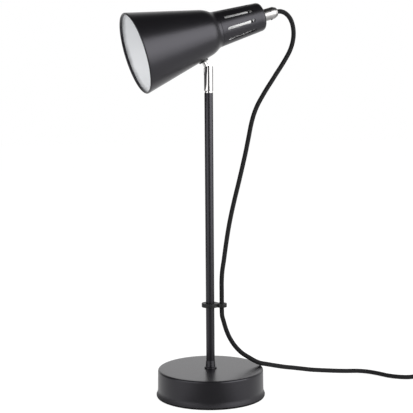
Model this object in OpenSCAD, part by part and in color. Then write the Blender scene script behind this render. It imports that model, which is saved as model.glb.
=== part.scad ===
// Desk lamp: weighted drum base, thin pole, knuckle joint and a conical shade with a vented rear cap.
// Millimetres. Z is up the pole, and the origin is the centre of the foot pad's underside.
// The shade's mouth faces -X at rest, and the cord leaves the shade and the base towards +X.

/* [Base] */
// Radius of the drum just under its rounded top edge
base_r = 68.3; // [55:0.1:90]
// How far the flared lip stands out from the drum
lip_out = 2.2; // [1.5:0.1:6]
// Height of the base's top face
base_h = 35.7; // [28:0.5:60]
// Radius of the rounded top edge
edge_r = 2.5; // [2:0.1:5]
// Height at which the side starts to flare
flare_h = 10; // [6:0.5:14]
// Thickness of the steel cover
cover_t = 1.2; // [0.8:0.1:2]
// Thickness of the foot pad
pad_t = 1.5; // [1:0.1:3]
// Width of the iron weight's outer rim
weight_rim = 10; // [6:0.5:20]
// Thickness of the iron weight's top web
weight_web = 6; // [4:0.5:10]

/* [Pole] */
// Outside radius of the pole
pole_r = 5.55; // [5:0.05:8]
// Wall of the pole
pole_wall = 0.8; // [0.6:0.1:1.2]
// Height of the pole's top end
pole_top = 390.9; // [250:1:600]
// Radius of the collar round the foot of the pole
collar_r = 8; // [7:0.1:14]
// Height of the collar
collar_h = 2.6; // [1.5:0.1:6]
// Radius of the threaded stud and of the knuckle's stem
stud_r = 3; // [2.5:0.1:3.2]

/* [Cord clip] */
// Height of the middle of the clip
clip_z = 118.7; // [113:0.5:140]
// Thickness of the clip
clip_t = 5; // [3:0.5:8]
// Outside radius of the ring round the pole
clip_pole_r = 11; // [8:0.1:12]
// Outside radius of the ring round the cord
clip_cord_r = 6.6; // [5:0.1:9]

/* [Knuckle] */
// Radius of the chrome knuckle
knuckle_r = 6; // [5.6:0.1:9]
// Height of the tilt pivot above the pole's top end
pivot_up = 28.5; // [20:0.5:50]
// Thickness of the link's tongue
tongue_t = 3.6; // [2.5:0.1:4.5]
// Radius of the tilt pin
pin_r = 2; // [1.5:0.1:2.5]
// Distance from the tilt pivot to the shade's wall
link_l = 13.9; // [13:0.1:30]
// Radius of the link's stem
link_r = 3; // [2.8:0.1:4]

/* [Shade] */
// How far the mouth points below the horizon, in degrees
head_tilt = 16.6; // [0:0.1:40]
// Radius of the shade's mouth
rim_r = 51.6; // [44:0.1:70]
// Radius at the small end of the cone
cone_r = 28.6; // [26:0.1:36]
// Length of the cone
cone_l = 99.5; // [95:0.5:140]
// Wall of the shade and of the cap
shade_t = 1; // [0.8:0.1:1.5]
// Length of the shoulder between the cone and the cap
shoulder_l = 12; // [9:0.5:20]
// Distance from the mouth to the link, along the axis
link_s = 83.2; // [75:0.1:90]

/* [Rear cap] */
// Radius of the cap at its front edge
cap_r = 22.8; // [20:0.1:25]
// Radius of the cap at its rear end
cap_end_r = 17.9; // [15:0.1:19]
// Length of the cap
cap_l = 63; // [60:0.5:80]
// Number of vent slots
slots = 9; // [6:1:12]
// Width of a vent slot
slot_w = 3.4; // [2:0.1:5]
// Length of a vent slot
slot_l = 39.4; // [20:0.1:43]
// Angle of the first slot from the top
slot_turn = 17.6; // [0:0.1:40]

/* [Cord gland] */
// Radius of the gland
gland_r = 7.8; // [7:0.1:10]
// Length of the gland
gland_l = 22; // [18:0.5:30]
// Radius of the gland's rear mouth
gland_mouth_r = 5.8; // [5:0.1:6.5]

/* [Lampholder and bulb] */
// Radius of the holder's front skirt
skirt_r = 14; // [13:0.1:15]
// Radius of the holder's porcelain barrel
barrel_r = 16.4; // [14.5:0.1:16.8]
// Radius of the bulb's globe
bulb_r = 22.5; // [18:0.5:24]
// Radius of the bulb's screw cap
bulb_cap_r = 6.9; // [6.5:0.1:7.2]

/* [Cord, switch and plug] */
// Diameter of the cord
cord_d = 6; // [4.8:0.1:6.2]
// Length of the cord switch
switch_l = 58; // [56:1:70]
// Width of the cord switch
switch_w = 22; // [20:0.5:28]
// Height of the cord switch
switch_h = 17; // [16:0.5:22]
// Radius of the outermost turn of the coil, to the middle of the cord
coil_r = 40; // [36:0.5:46]
// Thickness of the plug
plug_t = 13.6; // [12:0.1:16]

/* [Hidden] */
$fn = 96;

// Clearances
fit = 0.05;        // radial gap of a pressed or screwed fit
run = 0.05;        // radial gap of a running fit
face_gap = 0.1;    // gap between faces that turn on each other
slack = 0.3;       // gap round a cord or a loose piece

// Base
cover_in_r = base_r - cover_t;
weight_r = cover_in_r - 0.6;
weight_top = base_h - cover_t;
lip_r = base_r + lip_out;
lip_h = 2.2;
lip_tuck = 0.5;
side_lean = 0.3;
hub_r = 14;
hub_floor = 16;
lip_z = 0.8;

// Pole and its threaded pieces
pole_in_r = pole_r - pole_wall;
bush_l = 16;
washer_t = 1.5;
nut_t = 5;
flange_h = 2.4;
flange_r = pole_r - 0.4;
collar_neck = collar_h + 7.6;

// Knuckle
pivot = [0, 0, pole_top + pivot_up];
knuckle_z = pole_top + flange_h + face_gap;
friction_t = 0.4;
slot_gap = tongue_t + 2 * friction_t + 2 * face_gap;
eye_r = knuckle_r - 0.4;
stem_start = knuckle_r + 0.5;
stem_down = bush_l + flange_h + face_gap + washer_t + nut_t + 1;
link_washer_t = 1.6;
link_washer_r = 6.3;
link_stud_r = 2.5;

// Shade: distances along the axis from the plane of the mouth, called s
cone_k = (rim_r - cone_r) / cone_l;
cone_half = atan(cone_k);
link_lean = cone_half + head_tilt;
wall_at_link = rim_r - cone_k * link_s;
pivot_in_head = [wall_at_link + link_l * cos(cone_half), 0, link_s + link_l * sin(cone_half)];
rim_centre = pivot - turned(pivot_in_head);
flange_s = cone_l + shoulder_l - shade_t;
cap_s = flange_s + shade_t;
cap_end_s = cap_s + cap_l;
end_wall = 1.2;
cap_round = 3;
cap_edge = 0.3;
slot_s = cap_s + 7.5;

// Lampholder: its skirt reaches through the shade's flange, and its shoulder sits behind it
skirt_s = flange_s - 10.4;
holder_shoulder_r = skirt_r + 3;
holder_shoulder_l = 3;
barrel_l = 41.7;
body_end_s = cap_s + barrel_l;
gasket_l = 2.8;
dome_l = 7;
dome_s = body_end_s + gasket_l;
collar_l = 6;
nipple_r = 5;
nipple_bore = 3.6;
shell_r = bulb_cap_r + 1.3;
shell_depth = 27;
floor_s = cap_s + shell_depth;
gland_end_s = cap_end_s + gland_l;
nipple_end_s = cap_end_s + 7;
bush_s = nipple_end_s + 0.5;
bush_wall = 1.4;
cord_in_s = bush_s + 1;
bulb_neck_r = 10;
bulb_out = 29;
bulb_s = skirt_s - bulb_out;

// Cord. The free points are chosen by hand; the first two follow the gland.
cord_r = cord_d / 2;
clip_turn = -25;
clip_reach = 15.1;
cord_exit = on_axis(gland_end_s + 1);
head_points = [
    on_axis(cord_in_s), cord_exit,
    [97, 0, 495.6], [102.8, 0, 494.6], [108, 0, 491.4], [112, 0, 486.8], [114.7, 0, 481],
    [116.3, 0, 474.5], [116.8, 0, 466], [115.3, 0, 456], [111.8, 0, 446], [106.2, 0, 436],
    [99.7, 0, 426], [92.7, 0, 416],
    [85.7, -0.5, 406], [78.7, -0.7, 396], [72.2, -1, 386], [66.2, -1.2, 376], [61.2, -1.5, 365],
    [57.5, -1.7, 353.4], [53.1, -2, 333.9], [48.6, -2.4, 313.9], [43.6, -2.9, 294.4]
];
arc_points = [
    [38.5, -3.3, 275], [33.1, -3.8, 255.5], [28.1, -4.3, 236], [23.8, -4.8, 216.5], [20.3, -5.3, 197],
    [17.2, -5.8, 177.5], [14.6, -6.2, 162]
];
above_rim = [
    [13.7, -6.4, 149], [13.7, -6.4, 137], [13.7, -6.4, 125.1], [13.7, -6.4, 113.1], [14.2, -6.4, 104.1],
    [16, -6.4, 97.6], [19.5, -6.4, 86.1], [24.5, -6.4, 74.6], [31.5, -6.4, 63.7], [40.2, -6.9, 54.3]
];
from_rim = [
    [50.8, -8, 46.8], [57.8, -9.1, 42.4], [64.8, -9.6, 39], [75, -9.3, 36.3], [89.5, -5.6, 32.1],
    [103.8, -1.4, 28.1], [118.9, 3.5, 24.4], [132.9, 6, 21.2], [147.3, 8, 18.1], [161.8, 11, 15.4],
    [176.8, 13.5, 12.9], [191.8, 16, 10.5], [206.8, 18.6, 8.4], [215.2, 20, 7.4], [223.2, 20.7, 6.5],
    [231.2, 19.8, 5.6], [238.6, 16.9, 4.8], [245.1, 11.8, 4.1], [250.8, 4.8, 3.6], [256.4, -3.3, 3.1],
    [262.3, -10.8, 3.1], [269.9, -17, 3.1], [279.2, -21.2, 3.1], [288.7, -23.9, 4], [297.6, -26.9, 6.2]
];
// The points from the rim on go with the rim, from where they lie round a base of this radius
drawn_base_r = 68.3;
rim_shift = base_r - drawn_base_r;
foot_points = concat(above_rim, [for (p = from_rim) p + [rim_shift, 0, 0]]);
switch_at = [306 + rim_shift, -30.3];
switch_heading = -22;
cord_z = switch_h / 2;
switch_relief = 10;
switch_end = switch_l + 2 * switch_relief;
lead_points = [switch_line(switch_end + 8, 7.3), switch_line(switch_end + 17, 4)];
floor_z = cord_r + 0.1;
lead_l = 30;
coil_start = switch_line(switch_end + lead_l, floor_z);
plug_z = plug_t / 2;
plug_relief = 30;
plug_body_l = 35;
plug_half_w = 17.6;
plug_pin_y = 9.5;
plug_pin_r = 2;
plug_neck_r = 1.6;
plug_face = plug_relief + plug_body_l;
plug_sleeve_l = 10;
switch_wall = 1.8;
contact_x = 17;
contact_l = 6;
blade_l = switch_l - 2 * contact_x - contact_l;
switch_screw_x = 11;
switch_screw_y = 6;
rocker_z = switch_h - 4.5;
rocker_tilt = 8;

// Coil: an even number of layers, the first winding in and the last winding out again
coil_turns = 4.5;
coil_pitch = cord_d + 0.8;
coil_lift = cord_d + 0.6;
coil_rings = 24;
coil_sides = 6;
coil_centre = coil_start + coil_r * [sin(switch_heading), -cos(switch_heading), 0];
coil_a0 = 90 + switch_heading;
coil_steps = coil_turns * coil_rings;
coil_turning = [for (i = [0 : coil_steps]) coil_point(i / coil_rings)];
coil_end_heading = switch_heading - 360 * coil_turns;
coil_points = concat([coil_start - cord_d * heading(switch_heading)], coil_turning,
    [coil_turning[coil_steps] + cord_d * heading(coil_end_heading)]);
coil_gap = min([for (i = [0 : coil_steps]) for (j = [i + coil_rings / 2 : 1 : coil_steps])
    norm(coil_turning[i] - coil_turning[j])]) - cord_d;
echo(coil_least_gap_mm = coil_gap);

// The tail leaves the coil's top turn and comes down to the middle of the plug
tail_from = coil_points[len(coil_points) - 1];
plug_at = [tail_from[0], tail_from[1], plug_z] + 20 * heading(coil_end_heading);
tail_points = [tail_from, (tail_from + plug_at) / 2, plug_at];

// The whole routes, so that neighbouring stretches share one cut face
route = concat(head_points, arc_points, foot_points, [switch_line(0, cord_z)]);
out_route = concat([switch_line(switch_end, cord_z)], lead_points, [coil_points[0]]);
head_last = len(head_points) - 1;
arc_last = head_last + len(arc_points);
cord_sides = 10;
cord_length = path_length(route) + path_length(out_route) + path_length(coil_points)
    + path_length(tail_points);
echo(cord_length_mm = cord_length);

function turned(p) = [p[0] * sin(head_tilt) + p[2] * cos(head_tilt), p[1],
    p[2] * sin(head_tilt) - p[0] * cos(head_tilt)];
function on_axis(s) = rim_centre + turned([0, 0, s]);
function heading(a) = [cos(a), sin(a), 0];
function switch_line(x, z) = [switch_at[0], switch_at[1], z] + x * heading(switch_heading);
function coil_radius(t) = coil_r - coil_pitch * min(t, coil_turns - t);
function coil_height(t) = coil_lift * min(1, max(0, (t - coil_turns / 2) * 2 + 0.5));
function coil_point(t) = coil_centre + coil_radius(t) * heading(coil_a0 - 360 * t) + [0, 0, coil_height(t)];
function path_length(p) = sum([for (i = [1 : len(p) - 1]) norm(p[i] - p[i - 1])]);
function sum(v) = v * [for (x = v) 1];
function unit(v) = v / norm(v);
function tangent(p, i) = unit(p[min(i + 1, len(p) - 1)] - p[max(i - 1, 0)]);
function square_to(u, t) = unit(u - (u * t) * t);
// A list of directions square to the path, each turned as little as can be from the one before
function sides_of(t) = [for (i = 0, u = square_to([0, 1, 0.01], t[0]); i < len(t);
    i = i + 1, u = i < len(t) ? square_to(u, t[i]) : u) u];

// A round tube through the points, closed at both ends, with its rings square to the tangents
module tube(p, t, r, n) {
    u = sides_of(t);
    pts = [for (i = [0 : len(p) - 1]) for (k = [0 : n - 1])
        p[i] + r * (cos(360 * k / n) * u[i] + sin(360 * k / n) * cross(t[i], u[i]))];
    walls = [for (i = [0 : len(p) - 2]) for (k = [0 : n - 1]) let (a = i * n + k, b = i * n + (k + 1) % n)
        each [[a, b + n, b], [a, a + n, b + n]]];
    last = (len(p) - 1) * n;
    start = [for (k = [1 : n - 2]) [0, k, k + 1]];
    end = [for (k = [1 : n - 2]) [last, last + k + 1, last + k]];
    polyhedron(points = pts, faces = concat(walls, start, end), convexity = 10);
}

// The stretch of a route between two of its points, its last ring square to the heading it ends on
module stretch(path, first, last, start_heading, end_heading) {
    t = [for (i = [first : last]) i == 0 && start_heading != undef ? heading(start_heading)
        : i == len(path) - 1 ? heading(end_heading) : tangent(path, i)];
    tube([for (i = [first : last]) path[i]], t, cord_r, cord_sides);
}

// Places things with Z along the shade's axis, X down and the origin in the plane of the mouth
module on_head() {
    translate(rim_centre) rotate([0, 90 - head_tilt, 0]) children();
}

// Places things with Z from the tilt pivot to the shade's wall
module on_link() {
    translate(pivot) rotate([0, -link_lean, 0]) children();
}

module ring(r_out, r_in, h) {
    difference() {
        cylinder(r = r_out, h = h);
        translate([0, 0, -1]) cylinder(r = r_in, h = h + 2);
    }
}

module hex_nut(flats, r_in, h) {
    difference() {
        cylinder(r = flats / 2 / cos(30), h = h, $fn = 6);
        translate([0, 0, -1]) cylinder(r = r_in, h = h + 2);
    }
}

function reversed(v) = [for (i = [len(v) - 1 : -1 : 0]) v[i]];
// Points on an arc, from angle a down to angle b
function arc(centre, r, a, b, step) = [for (q = [a : -step : b]) centre + r * [cos(q), sin(q)]];

// The drum's outline from the middle of its top to the lip, drawn inwards by d
function drum(d) = concat(
    [[stud_r + fit, base_h - d], [base_r - edge_r, base_h - d]],
    arc([base_r - edge_r, base_h - edge_r], edge_r - d, 75, 0, 15),
    [for (q = [0 : 1 / 6 : 1]) [base_r + side_lean - d + (lip_out - side_lean) * q * q,
        flare_h + (lip_h - flare_h) * q]],
    [[lip_r - 0.1 - d, (lip_h + lip_z) / 2], [lip_r - lip_tuck - d, lip_z]]);

module base_cover() {
    color("#2b2b2d") rotate_extrude() polygon(concat(drum(0), reversed(drum(cover_t))));
}

module base_weight() {
    color("#4a4a4c") difference() {
        union() {
            translate([0, 0, weight_top - weight_web]) cylinder(r = weight_r, h = weight_web);
            translate([0, 0, pad_t])
                ring(weight_r - 2, weight_r - weight_rim, weight_top - weight_web - pad_t + 0.01);
            translate([0, 0, pad_t]) cylinder(r = hub_r, h = weight_top - pad_t - 0.01);
        }
        cylinder(r = stud_r + slack, h = base_h);
        cylinder(r = hub_r - 3.5, h = hub_floor);
        translate([0, 0, weight_top - edge_r]) ring(weight_r + 2, weight_r - edge_r, edge_r + 1);
    }
}

module base_pad() {
    color("#1a1a1a") cylinder(r = weight_r - 1, h = pad_t);
}

module foot_stud() {
    color("silver") translate([0, 0, hub_floor - washer_t - nut_t - 2])
        cylinder(r = stud_r, h = base_h + bush_l - 2 - hub_floor + washer_t + nut_t + 2);
}

module foot_washer() {
    color("silver") translate([0, 0, hub_floor - washer_t]) ring(9, stud_r + fit, washer_t);
}

module foot_nut() {
    color("silver") translate([0, 0, hub_floor - washer_t - nut_t]) hex_nut(10, stud_r + fit, nut_t);
}

// A flange with a neck that tapers up the pole
module foot_collar() {
    root_r = collar_r - 1.3;
    tip_r = pole_r + 0.5;
    color("#1c1c1e") translate([0, 0, base_h]) rotate_extrude() polygon([
        [pole_r + fit, 0], [collar_r, 0], [collar_r, collar_h - 0.9], [collar_r - 0.4, collar_h - 0.3],
        [root_r + 0.3, collar_h], [root_r, collar_h + 0.6], [tip_r, collar_neck],
        [pole_r + fit, collar_neck]]);
}

module pole_tube() {
    color("#2b2b2d") translate([0, 0, base_h]) ring(pole_r, pole_in_r, pole_top - base_h);
}

module pole_foot_bush() {
    color("silver") translate([0, 0, base_h]) ring(pole_in_r - fit, stud_r + fit, bush_l);
}

module pole_top_bush() {
    color("#d8d8da") difference() {
        union() {
            translate([0, 0, pole_top - bush_l]) cylinder(r = pole_in_r - fit, h = bush_l + 0.1);
            translate([0, 0, pole_top]) cylinder(r = flange_r, h = flange_h);
        }
        translate([0, 0, pole_top - bush_l - 1]) cylinder(r = stud_r + run, h = bush_l + flange_h + 2);
    }
}

// Two rings in one moulding, the large one snug on the pole and the small one round the cord
module cord_clip() {
    bevel = 0.8;
    color("#1c1c1e") translate([0, 0, clip_z - clip_t / 2]) rotate([0, 0, clip_turn]) difference() {
        union() {
            bevelled_disc(clip_pole_r, clip_t, bevel);
            translate([clip_reach, 0, 0]) bevelled_disc(clip_cord_r, clip_t, bevel);
            translate([0, -3.4, bevel]) cube([clip_reach, 6.8, clip_t - 2 * bevel]);
        }
        translate([0, 0, -1]) cylinder(r = pole_r + run, h = clip_t + 2);
        translate([clip_reach, 0, -1]) cylinder(r = cord_r + slack, h = clip_t + 2);
    }
}

module bevelled_disc(r, h, b) {
    cylinder(r1 = r - b, r2 = r, h = b);
    translate([0, 0, b]) cylinder(r = r, h = h - 2 * b);
    translate([0, 0, h - b]) cylinder(r1 = r, r2 = r - b, h = b);
}

// A round bar with its top rounded about the pivot and a slot for the link's tongue
module knuckle_fork() {
    chamfer = 0.6;
    color("#d8d8da") difference() {
        union() {
            translate([0, 0, knuckle_z]) cylinder(r1 = knuckle_r - chamfer, r2 = knuckle_r, h = chamfer);
            intersection() {
                translate([0, 0, knuckle_z + chamfer]) cylinder(r = knuckle_r, h = pivot_up + knuckle_r);
                union() {
                    translate([-10, -10, knuckle_z]) cube([20, 20, pivot[2] - knuckle_z]);
                    translate([0, 10, pivot[2]]) rotate([90, 0, 0]) cylinder(r = knuckle_r, h = 20);
                }
            }
            translate([0, 0, knuckle_z - stem_down]) cylinder(r = stud_r, h = stem_down + 0.5);
        }
        translate([-10, -slot_gap / 2, pivot[2] - eye_r - slack]) cube([20, slot_gap, 20]);
        translate([0, 10, pivot[2]]) rotate([90, 0, 0]) cylinder(r = pin_r + fit, h = 20);
    }
}

module knuckle_pin() {
    color("#d8d8da") intersection() {
        translate([0, 10, pivot[2]]) rotate([90, 0, 0]) cylinder(r = pin_r, h = 20);
        translate([0, 0, pivot[2] - 5]) cylinder(r = knuckle_r, h = 10);
    }
}

module knuckle_washers() {
    color("#303030") for (side = [-1, 1])
        translate([0, side * (tongue_t / 2 + face_gap / 2 + friction_t / 2) + friction_t / 2, pivot[2]])
            rotate([90, 0, 0]) ring(eye_r - 0.4, pin_r + run, friction_t);
}

module swivel_washer() {
    color("silver") translate([0, 0, pole_top - bush_l - face_gap - washer_t])
        ring(pole_in_r - slack, stud_r + fit, washer_t);
}

module swivel_nut() {
    color("silver") translate([0, 0, pole_top - bush_l - face_gap - washer_t - nut_t]) difference() {
        ring(pole_in_r - slack, stud_r + fit, nut_t);
        translate([-6, -0.6, -0.01]) cube([12, 1.2, 1.5]);
    }
}

// An eye on the tilt pin, a round stem and the threaded end that holds the shade
module knuckle_link() {
    shoulder_z = link_l - link_washer_t;
    color("#d8d8da") difference() {
        union() {
            on_link() translate([0, tongue_t / 2, 0]) rotate([90, 0, 0]) cylinder(r = eye_r, h = tongue_t);
            on_link() translate([-link_r, -tongue_t / 2, 0]) cube([2 * link_r, tongue_t, stem_start + 0.5]);
            on_link() translate([0, 0, stem_start]) cylinder(r = link_r, h = shoulder_z - stem_start);
            on_link() translate([0, 0, shoulder_z - 1.8]) cylinder(r1 = link_r, r2 = link_r + 0.9, h = 1.8);
            on_link() translate([0, 0, shoulder_z - 0.01]) cylinder(r = link_stud_r, h = 8.7);
        }
        translate([0, 10, pivot[2]]) rotate([90, 0, 0]) cylinder(r = pin_r + run, h = 20);
    }
}

// A saddle washer, flat on the link's shoulder and cut to the cone on its other side
module shade_washer() {
    reach = 20;
    wall = wall_at_link + 0.02;
    color("#1c1c1e") difference() {
        on_link() translate([0, 0, link_l - link_washer_t])
            ring(link_washer_r, link_stud_r + fit, link_washer_t + 0.9);
        on_head() translate([0, 0, link_s - reach])
            cylinder(r1 = wall + reach * cone_k, r2 = wall - reach * cone_k, h = 2 * reach, $fn = 192);
    }
}

module link_lock_washer() {
    color("silver") on_link() translate([0, 0, link_l + shade_t + 0.5]) ring(4.9, link_stud_r + fit, 1);
}

module link_nut() {
    color("silver") on_link() translate([0, 0, link_l + shade_t + 1.5]) hex_nut(8, link_stud_r + fit, 4);
}

// The shoulder falls from the cone's small end and runs out flush with the cap's front edge
function shoulder(d, length) = [for (i = [0 : 10]) let (q = i / 10)
    [cone_r + (cap_r - cone_r) * (q + q * q * (1 - q)) - d, cone_l + length * q]];

module shade() {
    outer = concat([[rim_r, 0]], shoulder(0, shoulder_l));
    inner = concat([[rim_r - shade_t, 0]], shoulder(shade_t, shoulder_l - shade_t));
    back = [[skirt_r + fit, cap_s], [skirt_r + fit, flange_s]];
    color("#2b2b2d") difference() {
        on_head() rotate_extrude($fn = 192) polygon(concat(outer, back, reversed(inner)));
        on_link() translate([0, 0, link_l - 3]) cylinder(r = link_stud_r + 0.1, h = 8);
    }
}

function cap_radius(s) = cap_r + (cap_end_r - cap_r) * (s - cap_s) / cap_l;

// The cap's outline from its front edge to the hole in its end wall, drawn inwards by d
function cap_outline(d, w) = concat(
    [[cap_r - cap_edge - d, cap_s], [cap_radius(cap_s + cap_edge) - d, cap_s + cap_edge],
        [cap_radius(cap_end_s - cap_round) - d, cap_end_s - cap_round]],
    [for (a = [15 : 15 : 90]) [cap_end_r - cap_round + (cap_round - d) * cos(a),
        cap_end_s - cap_round + (cap_round - w) * sin(a)]],
    [[nipple_r + fit, cap_end_s - w]]);

module rear_cap() {
    outer = cap_outline(0, 0);
    inner = cap_outline(shade_t, end_wall);
    color("#2b2b2d") on_head() difference() {
        rotate_extrude() polygon(concat(outer, reversed(inner)));
        for (k = [0 : slots - 1]) rotate([0, 0, 180 + slot_turn + 360 * k / slots]) vent_slot();
    }
}

// A slot with round ends, cut outwards from inside the wall
module vent_slot() {
    translate([cap_end_r - 6, -slot_w / 2, slot_s + slot_w / 2]) cube([20, slot_w, slot_l - slot_w]);
    for (end = [slot_s + slot_w / 2, slot_s + slot_l - slot_w / 2])
        translate([cap_end_r - 6, 0, end]) rotate([0, 90, 0]) cylinder(r = slot_w / 2, h = 20);
}

module shade_ring() {
    color("#ececea") on_head() translate([0, 0, flange_s - 5]) difference() {
        ring(skirt_r + 4.4, skirt_r + fit, 5);
        for (a = [0 : 45 : 315]) rotate([0, 0, a]) translate([skirt_r + 4.9, 0, -1])
            cylinder(r = 1.2, h = 7, $fn = 24);
    }
}

// Porcelain body: skirt, shoulder and barrel, bored for the screw shell, with a floor and a wiring chamber
module holder_body() {
    color("#f2f1ec") on_head() difference() {
        union() {
            translate([0, 0, skirt_s]) cylinder(r = skirt_r, h = cap_s - skirt_s + 0.01);
            translate([0, 0, cap_s]) cylinder(r = holder_shoulder_r, h = holder_shoulder_l);
            translate([0, 0, cap_s + holder_shoulder_l - 0.01])
                cylinder(r = barrel_r, h = body_end_s - cap_s - holder_shoulder_l + 0.01);
        }
        translate([0, 0, skirt_s - 1]) cylinder(r = shell_r + fit, h = floor_s - skirt_s + 1);
        translate([0, 0, floor_s + 3]) cylinder(r = barrel_r - 3, h = body_end_s);
        for (y = [0, 5]) translate([0, y, floor_s - 1]) cylinder(r = 1.6, h = 5);
    }
}

module holder_gasket() {
    color("#202020") on_head() translate([0, 0, body_end_s]) ring(barrel_r - 1, barrel_r - 3, gasket_l);
}

module holder_dome() {
    r = barrel_r - 0.2;
    neck_r = nipple_r + 2.2;
    bore_r = nipple_r + fit;
    wall = 1.2;
    color("#c9c9cc") on_head() translate([0, 0, dome_s]) rotate_extrude() polygon([
        [r, 0], [r, dome_l - 2.5], [r - 0.8, dome_l - 0.8], [r - 2.5, dome_l], [neck_r, dome_l],
        [neck_r, dome_l + collar_l], [bore_r, dome_l + collar_l], [bore_r, dome_l - wall],
        [r - 2.8, dome_l - wall], [r - wall, dome_l - 2.8], [r - wall, 0]]);
}

// Screw threads drawn as rings, a round wave along the axis
function thread(r, depth, pitch, from, to) = [for (i = [0 : floor((to - from) / pitch * 4)])
    [r - depth * (i % 4 == 0 ? 1 : i % 4 == 2 ? 0 : 0.4), from + i * pitch / 4]];

module holder_shell() {
    back = floor_s - 1;
    front = back - 26;
    wave = thread(shell_r - 0.2, 0.6, 2.82, front + 1, back - 3);
    base = [[shell_r, back], [shell_r - 4, back], [shell_r - 4, back - 0.5], [shell_r - 0.6, back - 0.5]];
    color("#c8a24a") on_head() rotate_extrude()
        polygon(concat([[shell_r, front]], base, reversed(wave), [[shell_r - 0.4, front]]));
}

module holder_contacts() {
    color("#c8a24a") on_head() {
        translate([0, 0, floor_s - 1.6]) cylinder(r = 2.6, h = 1.6);
        translate([0, 0, floor_s - 0.1]) cylinder(r = 1.4, h = 5);
        translate([-2, -2, floor_s + 3.1]) cube([4, 4, 5]);
        translate([0, 5, floor_s - 0.95]) cylinder(r = 1.4, h = 6);
        translate([-2, 3.4, floor_s + 3.1]) cube([4, 4, 5]);
    }
}

// Two insulated wires from the contacts through the nipple to the end of the cord
module holder_leads() {
    up = floor_s + 8.5;
    bend = dome_s + 2;
    color("#7a4a2a") on_head() {
        run_of_wire([[0, -0.4, up], [0, -1.3, bend], [0, -1.3, cord_in_s]]);
        run_of_wire([[0, 5.2, up], [0, 1.3, bend], [0, 1.3, cord_in_s]]);
    }
}

module wire(from, to, r) {
    v = to - from;
    translate(from) rotate([0, acos(v[2] / norm(v)), atan2(v[1], v[0])])
        cylinder(r = r, h = norm(v), $fn = 24);
}

module nipple() {
    from = dome_s + dome_l;
    color("silver") on_head() translate([0, 0, from]) ring(nipple_r, nipple_bore, nipple_end_s - from);
}

module nipple_nut() {
    color("silver") on_head() translate([0, 0, cap_end_s - end_wall - 3]) hex_nut(14, nipple_r + fit, 3);
}

module cord_gland() {
    seat = nipple_end_s - cap_end_s + 0.2;
    bush_bore = cord_r + bush_wall + fit;
    color("#d8d8da") on_head() translate([0, 0, cap_end_s]) difference() {
        rotate_extrude() polygon([
            [nipple_r + fit, 0], [gland_r - 0.5, 0], [gland_r, 0.5], [gland_r, gland_l - 5],
            [gland_r - 0.3, gland_l - 4], [gland_mouth_r + 0.3, gland_l - 0.6], [gland_mouth_r, gland_l],
            [bush_bore, gland_l], [bush_bore, seat], [nipple_r + fit, seat]]);
        gland_screw_at() cylinder(r = 1.5 + fit, h = 12);
    }
}

// The clamping screw points at the cord from below
module gland_screw_at() {
    translate([0, 0, gland_l - 9.4]) rotate([0, 0, -15]) rotate([0, 90, 0]) children();
}

module gland_bush() {
    color("#1c1c1e") on_head() translate([0, 0, bush_s])
        ring(cord_r + bush_wall, cord_r + 0.1, gland_end_s - bush_s + 0.4);
}

module gland_screw() {
    inside = cord_r + bush_wall;
    color("#1c1c1e") on_head() translate([0, 0, cap_end_s]) gland_screw_at() difference() {
        translate([0, 0, inside + 0.1]) cylinder(r = 1.5, h = gland_r + 0.4 - inside);
        translate([0, 0, gland_r - 1]) cylinder(r = 0.75, h = 3, $fn = 6);
    }
}

module bulb_globe() {
    a0 = asin(bulb_neck_r / bulb_r);
    color("#f7f7f2") on_head() translate([0, 0, bulb_s]) rotate_extrude() polygon(concat(
        [for (a = [a0 : (180 - a0) / 24 : 180]) [bulb_r * sin(a), bulb_r * cos(a)]],
        [for (a = [180 : -(180 - a0) / 24 : a0]) [(bulb_r - 1.2) * sin(a), (bulb_r - 1.2) * cos(a)]]));
}

module bulb_collar() {
    from = bulb_s + sqrt(bulb_r * bulb_r - bulb_neck_r * bulb_neck_r) + 0.1;
    to = skirt_s + 13;
    neck_r = bulb_cap_r + 0.2;
    color("#ececea") on_head() rotate_extrude() polygon([
        [0, from - 3], [8, from - 3], [8, from], [13.5, from],
        [12.6, skirt_s - 4], [neck_r, skirt_s - 0.6], [neck_r, to], [0, to]]);
}

module bulb_cap() {
    from = skirt_s + 13;
    to = floor_s - 4.6;
    wave = thread(bulb_cap_r, 0.5, 2.82, from, to - 2);
    color("#c9c9cc") on_head() rotate_extrude() polygon(concat([[0, from]], wave,
        [[bulb_cap_r - 2.5, to], [3, to], [2.4, floor_s - 1.7], [0, floor_s - 1.7]]));
}

module cord_head() {
    color("#1c1c1c") stretch(route, 0, head_last);
}

module cord_arc() {
    color("#1c1c1c") stretch(route, head_last, arc_last);
}

module cord_foot() {
    color("#1c1c1c") stretch(route, arc_last, len(route) - 1, undef, switch_heading);
}

module cord_lead() {
    color("#1c1c1c") stretch(out_route, 0, len(out_route) - 1, switch_heading, switch_heading);
}

// One unbroken tube: it winds in on the floor, climbs at the inside and winds out on top
module cord_coil() {
    n = len(coil_points);
    turning = [for (i = [0 : n - 1]) i <= 1 ? heading(switch_heading)
        : i >= n - 2 ? heading(coil_end_heading) : tangent(coil_points, i)];
    color("#1c1c1c") tube(coil_points, turning, cord_r, coil_sides);
}

module cord_tail() {
    color("#1c1c1c") stretch(tail_points, 0, len(tail_points) - 1, coil_end_heading, coil_end_heading);
}

// Places things with X along the switch and the origin on the floor at the end of its first relief
module at_switch() {
    translate(switch_line(switch_relief, 0)) rotate([0, 0, switch_heading]) children();
}

// The switch's outline from above, drawn inwards by d
module switch_plan(d) {
    half = switch_w / 2;
    cut = 6;
    polygon([[d, -half + cut], [cut, -half + d], [switch_l - cut, -half + d], [switch_l - d, -half + cut],
        [switch_l - d, half - cut], [switch_l - cut, half - d], [cut, half - d], [d, half - cut]]);
}

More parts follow.
